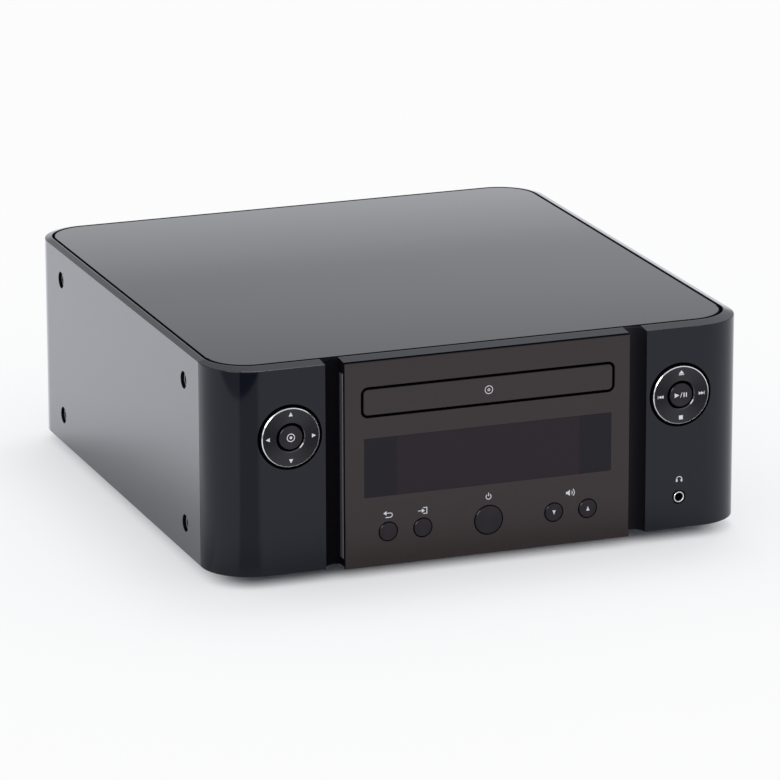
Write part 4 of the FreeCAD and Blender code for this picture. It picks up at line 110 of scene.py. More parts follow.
# %% Shader maths as Python
class Value:
    """One output socket of a tree. Arithmetic on it adds Math nodes."""

    def __init__(self, finish, socket):
        self.finish = finish
        self.socket = socket

    def math(self, operation, *numbers):
        return self.finish.node("ShaderNodeMath", {"operation": operation}, dict(enumerate(numbers)))

    def __add__(self, other):
        return self.math("ADD", self, other)

    def __radd__(self, other):
        return self.math("ADD", other, self)

    def __sub__(self, other):
        return self.math("SUBTRACT", self, other)

    def __rsub__(self, other):
        return self.math("SUBTRACT", other, self)

    def __mul__(self, other):
        return self.math("MULTIPLY", self, other)

    def __rmul__(self, other):
        return self.math("MULTIPLY", other, self)

    def __truediv__(self, other):
        return self.math("DIVIDE", self, other)

    def __pow__(self, power):
        return self.math("POWER", self, power)

    def above(self, edge):
        return self.math("GREATER_THAN", self, edge)

    def below(self, edge):
        return self.math("LESS_THAN", self, edge)

    def size(self):
        return self.math("ABSOLUTE", self)

    def at_least(self, other):
        return self.math("MAXIMUM", self, other)


# %% [markdown]
# A Finish owns one tree. Its first method adds a node of any kind: it puts the settings in first,
# such as the stops of a colour ramp, and then links or fills the sockets. The methods after it are
# short names for what nearly every finish here needs.

# %% A finish and its nodes
class Finish:
    """A material being made: its tree, and the method that adds a node to it."""

    def __init__(self, name, tree=None):
        if tree is None:
            self.material = bpy.data.materials.new(name)
            self.material.use_nodes = True
            tree = self.material.node_tree
        self.tree = tree
        self.tree.nodes.clear()

    def node(self, kind, settings=None, inputs=None, output=0):
        made = self.tree.nodes.new(kind)
        for name, value in (settings or {}).items():
            if name == "stops":
                while len(made.color_ramp.elements) < len(value):
                    made.color_ramp.elements.new(0)
                for stop, (place, colour) in zip(made.color_ramp.elements, value):
                    stop.position = place
                    stop.color = colour
            else:
                setattr(made, name, value)
        for name, value in (inputs or {}).items():
            if isinstance(value, Value):
                self.tree.links.new(value.socket, made.inputs[name])
            else:
                made.inputs[name].default_value = value
        return Value(self, made.outputs[output])

    def point(self, middle=(0, 0, 0)):
        """Where a surface point lies on the object, in metres, seen from middle."""
        place = self.node("ShaderNodeTexCoord", output="Object")
        shift = tuple(-value for value in middle)
        return self.node("ShaderNodeMapping", {}, {"Vector": place, "Location": shift})

    def axis(self, point, name):
        return self.node("ShaderNodeSeparateXYZ", {}, {"Vector": point}, output=name)

    def noise(self, point, pitch, detail=2.0, roughness=0.5):
        """Soft random values from 0 to 1 whose lumps are about pitch metres across."""
        return self.node("ShaderNodeTexNoise", {"noise_dimensions": "3D"},
                         {"Vector": point, "Scale": 1 / pitch, "Detail": detail, "Roughness": roughness})

    def between(self, share, first, second):
        """A colour that goes from first to second as share goes from 0 to 1."""
        return self.node("ShaderNodeMix", {"data_type": "RGBA", "clamp_factor": True},
                         {0: share, 6: first, 7: second}, output=2)

    def soften(self, value, low, high, first=0.0, last=1.0):
        """Goes gently from first to last while value goes from low to high."""
        return self.node("ShaderNodeMapRange", {"interpolation_type": "SMOOTHSTEP"},
                         {"Value": value, "From Min": low, "From Max": high,
                          "To Min": first, "To Max": last})

    def facing(self, name):
        """How far the surface itself, without its bumps, faces along one axis, from -1 to 1."""
        normal = self.node("ShaderNodeNewGeometry", output="True Normal")
        return self.node("ShaderNodeSeparateXYZ", {}, {"Vector": normal}, output=name)

    def bump(self, height, depth):
        """A normal that follows height, where 1 stands depth metres above 0."""
        return self.node("ShaderNodeBump", {}, {"Height": height, "Distance": depth, "Strength": 1.0})

    def principled(self, **inputs):
        """A Principled shader, whose sockets are named with underscores for spaces."""
        named = {name.replace("_", " "): value for name, value in inputs.items()}
        return self.node("ShaderNodeBsdfPrincipled", {}, named)

    def mixed(self, share, first, second):
        """The shader first where share is 0, and second where it is 1."""
        return self.node("ShaderNodeMixShader", {}, {0: share, 1: first, 2: second})

    def end(self, shader):
        """Ends the tree in this shader and gives back the material."""
        output = self.tree.nodes.new("ShaderNodeOutputMaterial")
        self.tree.links.new(shader.socket, output.inputs["Surface"])
        return self.material


def paint(red, green, blue):
    return (red, green, blue, 1.0)


def outside(across, along, half_across, half_along, radius):
    """How far a point lies outside a rounded rectangle about the middle. Inside, it is below 0."""
    over = (across.size() - (half_across - radius)).at_least(0.0)
    past = (along.size() - (half_along - radius)).at_least(0.0)
    return (over * over + past * past) ** 0.5 - radius


# %% [markdown]
# The set is a white table top with soft light from all round, as in a product photograph. A floor
# that is only lit would turn grey far off, and one that only glows would lose the shadow, so this
# one is a mix of both. Under the case it is a plain pale table top that takes the shadow. From the
# foot of the case on it is lifted towards an even white, more and more with the distance, so the
# shadow close to the case still shows.

# %% Build the floor
def sheet_object(name, corners):
    """A single flat face through the corners."""
    mesh = bpy.data.meshes.new(name)
    mesh.from_pydata([Vector(corner) for corner in corners], [], [tuple(range(len(corners)))])
    made = bpy.data.objects.new(name, mesh)
    bpy.context.scene.collection.objects.link(made)
    return made


def square(half, level):
    """The corners of a level square about the origin."""
    return [(-half, -half, level), (half, -half, level), (half, half, level), (-half, half, level)]


def ray_share(finish, camera_share, glossy_share, transmission_share):
    """A number for each kind of ray, and 0 for the rays that carry light to other surfaces."""
    shares = {"Camera": camera_share, "Glossy": glossy_share, "Transmission": transmission_share}
    return sum(finish.node("ShaderNodeLightPath", output=f"Is {ray} Ray") * share
               for ray, share in shares.items())


FLOOR_HALF, FLOOR_MOTTLE = 14.0, 0.4
FLOOR_TONES = paint(0.9, 0.905, 0.95), paint(0.91, 0.915, 0.96)
LIFTED_WHITE = paint(0.972, 0.975, 0.973)
CASE_HALF, CASE_FRONT, CASE_CORNER = solid_box[1].x, -solid_box[0].y, 0.025
LIFT_START, LIFT_END = -20 * MM, 2 * MM
NEAR_LOSS, LOSS_REACH, LOSS_CORNER = 0.42, 100 * MM, 65 * MM
MIRRORED_LIFT = 0.15
floor = sheet_object("floor", square(FLOOR_HALF, 0))
floor_paint = Finish("pale_table_top")
floor_point = floor_paint.point()
floor_x, floor_y = (floor_paint.axis(floor_point, letter) for letter in "XY")
away = outside(floor_x, floor_y, CASE_HALF, CASE_FRONT, CASE_CORNER)
shaded = outside(floor_x, floor_y, CASE_HALF, CASE_FRONT, LOSS_CORNER)
loss = shaded.math("EXPONENT", shaded.at_least(0.0) / -LOSS_REACH) * NEAR_LOSS
lift = floor_paint.soften(away, LIFT_START, LIFT_END) * (1 - loss)
table_top = floor_paint.principled(
    Base_Color=floor_paint.between(floor_paint.noise(floor_point, FLOOR_MOTTLE), *FLOOR_TONES),
    Roughness=0.9, Specular_IOR_Level=0.0)
lifted = floor_paint.node("ShaderNodeEmission", {}, {"Color": LIFTED_WHITE, "Strength": 1.0})
floor.data.materials.append(floor_paint.end(
    floor_paint.mixed(ray_share(floor_paint, 1.0, MIRRORED_LIFT, 1.0) * lift, table_top, lifted)))
print("floor is", 2 * FLOOR_HALF, "m across, and loses", NEAR_LOSS, "of its lift beside the case")

# %% [markdown]
# The world is an even pale sky. It shows nearly white to the camera, falls off a little overhead in
# what mirrors it, and is dimmer where it lights surfaces, so that a colour renders about as it is
# written. One wide lamp, high behind the right side, throws the shadow forwards.

# %% Light it
SKY_TINT = paint(0.975, 0.98, 1.03)
SKY_SHOWN, SKY_MIRRORED, SKY_FALL, SKY_LIGHT = 0.96, 0.95, 0.3, 0.7
world = bpy.data.worlds.new("soft_light")
bpy.context.scene.world = world
world.use_nodes = True
sky = Finish("soft_light", world.node_tree)
height = sky.axis(sky.node("ShaderNodeTexCoord", output="Generated"), "Z")
mirrored_gain = SKY_MIRRORED - SKY_LIGHT - height.at_least(0.0) * SKY_FALL
sky_strength = ray_share(sky, SKY_SHOWN - SKY_LIGHT, mirrored_gain, mirrored_gain) + SKY_LIGHT
sky_light = sky.node("ShaderNodeBackground", {}, {"Color": SKY_TINT, "Strength": sky_strength})
sky_out = sky.tree.nodes.new("ShaderNodeOutputWorld")
sky.tree.links.new(sky_light.socket, sky_out.inputs["Surface"])

LAMP_PLACE, LAMP_WIDTH, LAMP_POWER = Vector((0.387, 0.552, 1.669)), 0.72, 10.3
light = bpy.data.lights.new("high_lamp", "AREA")
light.shape = "SQUARE"
light.size = LAMP_WIDTH
light.energy = LAMP_POWER
lamp = bpy.data.objects.new("high_lamp", light)
bpy.context.scene.collection.objects.link(lamp)
lamp.location = LAMP_PLACE
lamp.rotation_euler = (-LAMP_PLACE).to_track_quat("-Z", "Y").to_euler()
lamp.visible_camera = False
print("lamp of", LAMP_POWER, "W stands", round(LAMP_PLACE.length, 2), "m away")

# %% [markdown]
# What a glossy black box shows is its surroundings, so the set gets some sheets that only mirroring
# surfaces see. The first is a bright sweep behind the object, brightest low down and to the right,
# which gives the top plate its slope of grey.

# %% Hang the bright sweep
def mirrored_only(made, material):
    """Stands a sheet in the set that only mirroring surfaces see: it neither lights nor shades."""
    made.data.materials.append(material)
    made.visible_camera = False
    made.visible_diffuse = False
    made.visible_shadow = False
    made.visible_transmission = False


SWEEP_BACK, SWEEP_HALF, SWEEP_LOW, SWEEP_HIGH = 0.85, 1.3, 0.02, 1.1
GLOW_LOW, GLOW_HIGH, GLOW_MOST = 0.3, 0.43, 1.6
GLOW_STOPS = ((0.0, 1.29), (0.08, 1.18), (0.15, 1.08), (0.24, 0.98), (0.3, 0.88), (0.36, 0.82), (0.43, 0.8),
              (0.55, 0.775), (0.67, 0.725), (0.79, 0.67), (1.0, 0.57))
GLOW_TINT = (0.985, 1.0, 1.06)
GLOW_MIDDLE, GLOW_RIGHTWARDS = 0.866, 0.42
sweep_paint = Finish("bright_sweep")
sweep_x, sweep_z = (sweep_paint.axis(sweep_paint.point(), letter) for letter in "XZ")
rise = (sweep_z - GLOW_LOW) / (GLOW_HIGH - GLOW_LOW)
glow_stops = [(spot, paint(*[value / GLOW_MOST * tint for tint in GLOW_TINT]))
              for spot, value in GLOW_STOPS]
glow = sweep_paint.node("ShaderNodeValToRGB", {"stops": glow_stops}, {"Fac": rise})
sweep_glow = sweep_paint.node("ShaderNodeEmission", {}, {
    "Color": glow, "Strength": (GLOW_MIDDLE + sweep_x * GLOW_RIGHTWARDS) * GLOW_MOST})
sweep = sheet_object("bright_sweep", [
    (-SWEEP_HALF, SWEEP_BACK, SWEEP_LOW), (SWEEP_HALF, SWEEP_BACK, SWEEP_LOW),
    (SWEEP_HALF, SWEEP_BACK, SWEEP_HIGH), (-SWEEP_HALF, SWEEP_BACK, SWEEP_HIGH)])
mirrored_only(sweep, sweep_paint.end(sweep_glow))
print("sweep hangs", SWEEP_BACK, "m behind, with", len(GLOW_STOPS), "steps of brightness")

# %% [markdown]
# A dark card lies on the floor round the front left corner. Its curved near edge rounds off the
# corner of the case, a wedge of it darkens the front wing, and a faint part beside the case is
# painted shadow, which darkens the floor that the foot of the side wall mirrors. Everything on it
# goes by the distance from the corner and by the bearing, which is the angle round the corner in
# radians: 0 straight to the front and negative towards the left. A sector is 1 between two
# bearings, and each of its edges is soft from one angle to the next.

# %% Lay the dark card
CARD_HALF, CARD_LEVEL, CARD_BLUR = 1.6, 0.8 * MM, 4 * MM
CARD_BLACK = paint(0.02, 0.02, 0.024)
CORNER = (-0.115, -0.125, 0)
CARD_NEAREST, CARD_NEAREST_BEARING, CARD_BEND = 0.353, -0.7, 0.09
CARD_SECTOR = (-1.75, -1.6, 0.2, 0.3)
TONE_CHANGE, LEFT_TONE, FRONT_TONE = (-0.68, -0.64), 0.52, 0.86
WEDGE_SECTOR, WEDGE_START, WEDGE_TONE = (-0.74, -0.62, -0.1, 0.12), (0.03, 0.07), 0.38
SHADOW_BESIDE, SHADOW_BEARING, SHADOW_REAR, SHADOW_TONE = (-0.1, -0.02), (-1.7, -1.55), (0.1, 0.33), 0.27
card_paint = Finish("dark_card")
card_x, card_y = (card_paint.axis(card_paint.point(CORNER), letter) for letter in "XY")
reach = (card_x * card_x + card_y * card_y) ** 0.5
bearing = card_x.math("ARCTAN2", card_x, card_y * -1.0)


def sector(opens, open_from, closes, closed_from):
    """1 between two bearings, with soft edges."""
    opened = card_paint.soften(bearing, opens, open_from)
    return opened * card_paint.soften(bearing, closes, closed_from, 1.0, 0.0)


swerve = bearing - CARD_NEAREST_BEARING
card_start = swerve * swerve * CARD_BEND + CARD_NEAREST
card_tone = card_paint.soften(bearing, *TONE_CHANGE, LEFT_TONE, FRONT_TONE)
card = card_paint.soften(reach - card_start, -CARD_BLUR, CARD_BLUR) * sector(*CARD_SECTOR) * card_tone
wedge = sector(*WEDGE_SECTOR) * card_paint.soften(reach, *WEDGE_START) * WEDGE_TONE
# The faint part beside the case is painted shadow, seen only in the mirroring side wall.
beside = card_x + CORNER[0] + CASE_HALF
painted_shadow = card_paint.soften(beside, *SHADOW_BESIDE, 0.0, SHADOW_TONE)
painted_shadow = painted_shadow * card_paint.soften(bearing, *SHADOW_BEARING, 1.0, 0.0)
painted_shadow = painted_shadow * card_paint.soften(card_y, *SHADOW_REAR, 1.0, 0.0)
covered = painted_shadow.at_least(wedge.at_least(card))
see_through = card_paint.node("ShaderNodeBsdfTransparent")
card_black = card_paint.node("ShaderNodeEmission", {}, {"Color": CARD_BLACK, "Strength": 1.0})
mirrored_only(sheet_object("dark_card", square(CARD_HALF, CARD_LEVEL)),
              card_paint.end(card_paint.mixed(covered, see_through, card_black)))
print("card's near edge is", CARD_NEAREST, "m from the corner at", CORNER[:2])

# %% [markdown]
# A softbox above the front left draws the bright arcs on the cut edges of the rings. It is a
# glowing square, a little uneven like real cloth. A lamp would also brighten the mat surfaces, so
# it is one more sheet that only mirroring surfaces see.

# %% Hang the softbox
BOX_AIM, BOX_TOWARDS = Vector((0, -0.15, 0.08)), Vector((-0.72, -0.42, 0.5)).normalized()
BOX_DISTANCE, BOX_WIDTH, BOX_STRENGTH = 1.3, 0.62, 6.0
UP = Vector((0, 0, 1))
box_middle = BOX_AIM + BOX_TOWARDS * BOX_DISTANCE
box_side = BOX_TOWARDS.cross(UP).normalized() * BOX_WIDTH / 2
box_rise = box_side.cross(BOX_TOWARDS).normalized() * BOX_WIDTH / 2
box_paint = Finish("front_softbox")
box_cloth = box_paint.noise(box_paint.point(), BOX_WIDTH / 3)
box_shine = box_paint.node("ShaderNodeEmission", {}, {
    "Color": paint(1, 1, 1), "Strength": BOX_STRENGTH * (box_cloth * 0.2 + 0.9)})
mirrored_only(sheet_object("front_softbox", [
    box_middle - box_side - box_rise, box_middle + box_side - box_rise,
    box_middle + box_side + box_rise, box_middle - box_side + box_rise]), box_paint.end(box_shine))
print("softbox hangs at", [round(value, 2) for value in box_middle])

# %% [markdown]
# Now the finishes. A moulded or lacquered surface is never one even colour: its gloss changes a
# little where it was wiped, it carries the faint ripple of the mould or the spray gun, and dust
# sits on it. One recipe covers these, with the sizes of the marks as its numbers: large soft marks
# for wiping, and a fine grain for texture or ripple.

# %% A surface that was wiped clean
DUST_PITCH, DUST_RARE, DUST_DULL = 0.0006, 0.79, 0.04
WIPE_SHARE = 0.7


def gloss(finish, colour, worn, roughness, wiped=0.03, wipe_pitch=0.05, grain_pitch=0.0012,
          grain_depth=2e-6, metallic=0.0, coat=0.0, coat_roughness=0.03, shine=0.5, ior=1.5):
    """The shader of a surface that was wiped clean, with its grain, and dust that dulls it in specks."""
    point = finish.point()
    wipe = finish.noise(point, wipe_pitch, 4.0, 0.6)
    grain = finish.noise(point, grain_pitch, 3.0, 0.6)
    dust = finish.noise(point, DUST_PITCH, 0.0).above(DUST_RARE)
    return finish.principled(
        Base_Color=finish.between(wipe * WIPE_SHARE + grain * (1 - WIPE_SHARE), colour, worn),
        Roughness=roughness + (wipe - 0.5) * wiped * 2 + dust * DUST_DULL,
        Metallic=metallic,
        Normal=finish.bump(grain, grain_depth),
        Coat_Weight=coat,
        Coat_Roughness=coat_roughness,
        Specular_IOR_Level=shine,
        IOR=ior)


def moulded(name, colour, worn, roughness, *marks, **more):
    finish = Finish(name)
    return finish.end(gloss(finish, colour, worn, roughness, *marks, **more))


# %% [markdown]
# The plain materials follow, one recipe each, under the names that the record gives them. The
# numbers after the two colours are the roughness, how far wiping changes it, the sizes of the wiped
# marks and of the grain, and the depth of the grain.

# %% The plain materials
finishes = {
    "chrome": moulded("bright_nickel", paint(0.78, 0.78, 0.8), paint(0.7, 0.7, 0.72), 0.12, 0.05, 0.004,
                      0.0004, 1e-6, metallic=1.0),
    "tin_plate": moulded("tinned_sheet", paint(0.58, 0.58, 0.6), paint(0.48, 0.48, 0.5), 0.32, 0.08, 0.008,
                         0.0005, 3e-6, metallic=1.0),
    "zinc_steel": moulded("zinc_plated_sheet", paint(0.6, 0.61, 0.62), paint(0.5, 0.52, 0.52), 0.38, 0.1,
                          0.012, 0.0012, 4e-6, metallic=1.0),
    "black_steel": moulded("black_powder_coat", paint(0.012, 0.012, 0.013), paint(0.02, 0.02, 0.021), 0.5,
                           0.06, 0.03, 0.0007, 2.5e-5),
    "black_abs": moulded("textured_black_moulding", paint(0.014, 0.014, 0.015), paint(0.021, 0.021, 0.022),
                         0.45, 0.06, 0.02, 0.0005, 1.6e-5),
    "black_nylon": moulded("satin_black_nylon", paint(0.013, 0.013, 0.014), paint(0.022, 0.022, 0.023),
                           0.34, 0.06, 0.008, 0.0004, 8e-6),
    "red_nylon": moulded("satin_red_nylon", paint(0.34, 0.012, 0.014), paint(0.42, 0.02, 0.02), 0.36, 0.06,
                         0.008, 0.0004, 8e-6),
    "white_acetal": moulded("white_acetal", paint(0.72, 0.71, 0.67), paint(0.8, 0.79, 0.76), 0.38, 0.06,
                            0.008, 0.0005, 5e-6),
    "black_rubber": moulded("mat_black_rubber", paint(0.012, 0.012, 0.012), paint(0.03, 0.029, 0.028), 0.75,
                            0.08, 0.006, 0.0004, 2e-5, shine=0.3),
    "display_glass": moulded("display_glass", paint(0.012, 0.014, 0.016), paint(0.018, 0.02, 0.022), 0.06),
    "brass_pins": moulded("plated_brass", paint(0.72, 0.6, 0.34), paint(0.6, 0.48, 0.26), 0.24, 0.06, 0.003,
                          0.0004, 2e-6, metallic=1.0),
    "aluminium": moulded("extruded_aluminium", paint(0.66, 0.67, 0.68), paint(0.56, 0.57, 0.58), 0.34, 0.06,
                         0.01, 0.0006, 4e-6, metallic=1.0),
}
print("plain recipes:", len(finishes))

# %% [markdown]
# The next finishes change with the place on the part. A gap between two glossy parts looks black,
# because light that enters it hardly comes out again. A render shows the same only if the walls of
# the gap don't shine, so the walls, grooves and wells get painted shade: a mat black that mirrors
# nothing. Each mask is a product of comparisons on the place, in metres, and on the way that the
# surface faces, so it is 1 in the recess and 0 elsewhere.

# %% Painted shade for gaps and grooves
# These blacks are painted shade for gaps, grooves and wells.
DARK = paint(0.0095, 0.0092, 0.0115)
DEEP = paint(0.006, 0.006, 0.0075)
# The paler black is painted light, for the lit wall of the right groove.
LIT_GROOVE_BLACK = paint(0.034, 0.032, 0.037)


def shade_black(finish, pale=0.0):
    """Painted shade, a mat black with its grain, painted lighter where pale goes up to 1."""
    grain = finish.noise(finish.point(), 0.0015, 3.0)
    black = finish.between(grain, DEEP, DARK)
    return finish.principled(Base_Color=finish.between(pale, black, LIT_GROOVE_BLACK), Roughness=0.85,
                             Specular_IOR_Level=0.0)


def place(finish):
    """The three coordinates of a surface point on the object, in metres."""
    point = finish.point()
    return [finish.axis(point, letter) for letter in "XYZ"]


def middle_of(name):
    """The middle of a solid's box, in metres."""
    low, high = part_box(name)
    return (low + high) / 2


def from_middle(across, up, middle_across, middle_up):
    """How far a point lies from a middle, as seen from the front or the side."""
    side, rise = across - middle_across, up - middle_up
    return (side * side + rise * rise) ** 0.5


def round_place(across, up, middle_across, middle_up, radius):
    """1 inside a circle."""
    return from_middle(across, up, middle_across, middle_up).below(radius)


def any_of(*masks):
    total = masks[0]
    for mask in masks[1:]:
        total = total.at_least(mask)
    return total


# %% [markdown]
# The top plate lies in an opening that the cover and the front moulding share, so both give its
# walls painted shade. The outline of the plate is a rounded rectangle, which the helper for outlines
# gives. A point is on a wall of the opening if it lies no more than a little play outside that
# outline, is high enough, and faces sideways.

# %% The walls round the top plate
PLATE_LOW, PLATE_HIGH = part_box("top_plate")
PLATE_CORNER, PLATE_MIDDLE = 20.3 * MM, (PLATE_LOW.y + PLATE_HIGH.y) / 2
OPENING_PLAY = 1.4 * MM
UPRIGHT, TURNED_UP, TURNED_BACK, TURNED_FORWARD = 0.3, 0.5, 0.5, -0.4


def beyond_plate(x, y):
    """How far a point lies outside the top plate's outline, and below 0 on the plate."""
    return outside(x, y - PLATE_MIDDLE, PLATE_HIGH.x, PLATE_HIGH.y - PLATE_MIDDLE, PLATE_CORNER)


def plate_opening(finish, x, y, z):
    """The upright walls of the opening that the top plate lies in."""
    # The walls of the opening get painted shade.
    near = beyond_plate(x, y).below(OPENING_PLAY)
    return near * z.above(PLATE_LOW.z - OPENING_PLAY) * finish.facing("Z").below(UPRIGHT)


print("top plate in mm:", [round(value / MM, 1) for value in (*PLATE_LOW, *PLATE_HIGH)])

# %% [markdown]
# The cover is sprayed, not moulded: a dark base under clear lacquer. Two glossy layers mirror more
# at a low angle than one does, which is why the side of the case is so much paler in the photograph
# than the front moulding, though both are black from straight on. The lacquer ends at the sloped
# rim round the top, and the screw recesses get painted shade, a mat black.

# %% The sprayed cover
SIDE_SCREW_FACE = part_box("pan_head_screws")[1].x
SIDE_SCREW_OUT = 100.3 * MM
SIDE_SCREW_MIDDLE, SIDE_SCREW_APART = 58.45 * MM, 36.65 * MM
RECESS_RADIUS, RECESS_DEEP, RECESS_MOUTH = 4.45 * MM, 5 * MM, 139.9 * MM
LACQUER_TOP = 110.15 * MM


def from_side_screw(y, z):
    """The distance from the axis of the nearest side screw."""
    return from_middle(y.size(), (z - SIDE_SCREW_MIDDLE).size(), SIDE_SCREW_OUT, SIDE_SCREW_APART)


def cover_lacquer():
    finish = Finish("sprayed_cover_lacquer")
    x, y, z = place(finish)
    # The screw recesses and the walls round the plate get painted shade.
    recess = from_side_screw(y, z).below(RECESS_RADIUS)
    recess = recess * x.size().above(SIDE_SCREW_FACE - RECESS_DEEP) * x.size().below(RECESS_MOUTH)
    sprayed = gloss(finish, paint(0.022, 0.0225, 0.026), paint(0.028, 0.0285, 0.032), 0.13, 0.02, 0.09,
                    0.002, 1.5e-6, coat=z.below(LACQUER_TOP), coat_roughness=0.05)
    mat = any_of(recess, plate_opening(finish, x, y, z))
    return finish.end(finish.mixed(mat, sprayed, shade_black(finish)))


finishes["cover_lacquer"] = cover_lacquer()
print("side screws", round(SIDE_SCREW_OUT / MM, 1), "mm before and behind the middle")

# %% [markdown]
# One kind of screw holds everything together. It is blackened steel. The rims of the heads in the
# sides get a painted highlight, bright where their rounded edges would catch the light. All the
# screws are one object here, so two finishes are mixed by the distance from the axis of the nearest
# side screw, and the screws behind and underneath stay black.

# %% The screws
HIGHLIGHT_INNER, HEAD_RADIUS, HEAD_DEEP = 2.8 * MM, 3.6 * MM, 3.2 * MM


def highlighted_screws():
    finish = Finish("screw_steel_with_highlight")
    x, y, z = place(finish)
    from_axis = from_side_screw(y, z)
    # The bright rim is a painted highlight.
    rim = from_axis.below(HEAD_RADIUS) * from_axis.above(HIGHLIGHT_INNER)
    rim = rim * x.size().above(SIDE_SCREW_FACE - HEAD_DEEP)
    black = gloss(finish, paint(0.05, 0.05, 0.055), paint(0.11, 0.11, 0.115), 0.3, 0.08, 0.002, 0.0004,
                  4e-6, metallic=0.9)
    bright = gloss(finish, paint(0.62, 0.62, 0.64), paint(0.76, 0.76, 0.78), 0.36, 0.08, 0.002, 0.0004,
                   4e-6, metallic=0.3)
    return finish.end(finish.mixed(rim, black, bright))


finishes["pan_head_screws"] = highlighted_screws()
print("bright rims", round((HEAD_RADIUS - HIGHLIGHT_INNER) / MM, 1), "mm wide")

# %% [markdown]
# The front moulding is polished on its wings and its rim alone. The block behind the fascia, the
# two scooped grooves, the wells round the rings and the headphone hole get painted shade. It is one
# solid, so the place of a point chooses between the two finishes. The right groove gets painted
# light: its black is a little paler, most of all beside the block.

# %% The front moulding
FASCIA_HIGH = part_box("centre_fascia")[1]
BLOCK_HALF, BLOCK_TOP = FASCIA_HIGH.x + 0.05 * MM, FASCIA_HIGH.z - 0.15 * MM
WING_EDGE = 84.4 * MM
WING_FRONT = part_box("front_panel")[0].y
EDGE_DEPTH = 0.12 * MM
RING_MIDDLES = {name: middle_of(name) for name in ("menu_ring", "transport_ring")}
JACK_MIDDLE = middle_of("phones_jack_ring")
WELL_RADIUS, JACK_HOLE_RADIUS = 16.6 * MM, 3.7 * MM
GROOVE_PALE = 0.25


def front_moulding():
    finish = Finish("front_moulding")
    x, y, z = place(finish)
    across = x.size()
    sunk = y.above(WING_FRONT + EDGE_DEPTH)
    block = across.below(BLOCK_HALF) * z.below(BLOCK_TOP)
    groove = across.above(BLOCK_HALF - EDGE_DEPTH) * across.below(WING_EDGE) * sunk
    ring = RING_MIDDLES["transport_ring"]
    well = round_place(across, z, ring.x, ring.z, WELL_RADIUS) * sunk
    jack = round_place(x, z, JACK_MIDDLE.x, JACK_MIDDLE.z, JACK_HOLE_RADIUS) * sunk
    inside = finish.facing("Y").above(TURNED_BACK)
    # These recesses get painted shade.
    recesses = any_of(block, groove, well, jack, inside, plate_opening(finish, x, y, z))
    polished = gloss(finish, paint(0.0018, 0.003, 0.0085), paint(0.0026, 0.0038, 0.0095), 0.05, 0.012, 0.06,
                     0.0025, 0.8e-6, ior=1.43)
    # The right groove's paler black is painted light.
    right_groove = x.above(BLOCK_HALF) * x.below(WING_EDGE)
    painted_groove_light = finish.soften(x, BLOCK_HALF, WING_EDGE, 1.0, GROOVE_PALE) * right_groove
    return finish.end(finish.mixed(recesses, polished, shade_black(finish, painted_groove_light)))


finishes["front_moulding"] = front_moulding()
print("wells at", [[round(value / MM, 1) for value in middle] for middle in RING_MIDDLES.values()])

# %% [markdown]
# The acrylic pieces are cast sheet, black right through. Their faces are as smooth as glass, and
# their edges, which lie in the gaps round them, get painted shade. The fascia and the tray door are a
# warm black. On the plate and on the door the painted shade comes a little way round onto the face,
# so the gap shows as a wider dark line. One recipe makes all three, and a small function for each
# says where its shaded edge is.

# %% The acrylic sheets
def acrylic(name, colour, worn, edge_mask):
    finish = Finish(name)
    sheet = gloss(finish, colour, worn, 0.05, 0.012, 0.05, 0.003, 0.4e-6)
    return finish.end(finish.mixed(edge_mask(finish), sheet, shade_black(finish)))


EDGE_DARK, FRONT_EDGE_DARK = 0.4 * MM, 1.0 * MM


# The plate's edges and a strip round its face get painted shade.
def shaded_plate_edge(finish):
    x, y, z = place(finish)
    beyond = beyond_plate(x, y)
    wide = beyond.above(-FRONT_EDGE_DARK) * y.below(PLATE_LOW.y + PLATE_CORNER)
    return any_of(finish.facing("Z").below(UPRIGHT), beyond.above(-EDGE_DARK), wide)


# Every face not turned to the front gets painted shade.
def shaded_edge_faces(finish):
    return finish.facing("Y").above(TURNED_FORWARD)


finishes["top_plate"] = acrylic("smoked_acrylic", paint(0.004, 0.0042, 0.006), paint(0.006, 0.006, 0.008),
                                shaded_plate_edge)
finishes["centre_fascia"] = acrylic("warm_black_acrylic", paint(0.0222, 0.0113, 0.0088),
                                    paint(0.0245, 0.013, 0.0102), shaded_edge_faces)

DOOR_LOW, DOOR_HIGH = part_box("tray_door")
DOOR_MIDDLE = (DOOR_LOW.z + DOOR_HIGH.z) / 2
DOOR_CORNER, DOOR_EDGE = 2.4 * MM, 0.25 * MM


# The door's edges and a thin strip round its face get painted shade.
def shaded_door_edge(finish):
    x, y, z = place(finish)
    beyond = outside(x, z - DOOR_MIDDLE, DOOR_HIGH.x, DOOR_HIGH.z - DOOR_MIDDLE, DOOR_CORNER)
    return any_of(shaded_edge_faces(finish), beyond.above(-DOOR_EDGE))


finishes["tray_door"] = acrylic("warm_black_door", paint(0.0236, 0.0127, 0.0108),
                                paint(0.026, 0.0145, 0.0122), shaded_door_edge)
print("door in mm:", [round(value / MM, 2) for value in (*DOOR_LOW, *DOOR_HIGH)])

# %% [markdown]
# The two strips in the grooves are frosted plastic that lets a light behind them through. They are
# unlit here. The edge nearest to the front is thinner, so it passes more light and looks paler.
# Real scattering would render slowly and hardly show on so thin a strip, so the colour alone turns
# paler towards that edge.

# %% The frosted strips
STRIP_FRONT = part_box("light_strips")[0].y
THIN_END, THIN_GONE = STRIP_FRONT + 0.9 * MM, STRIP_FRONT + 1.6 * MM


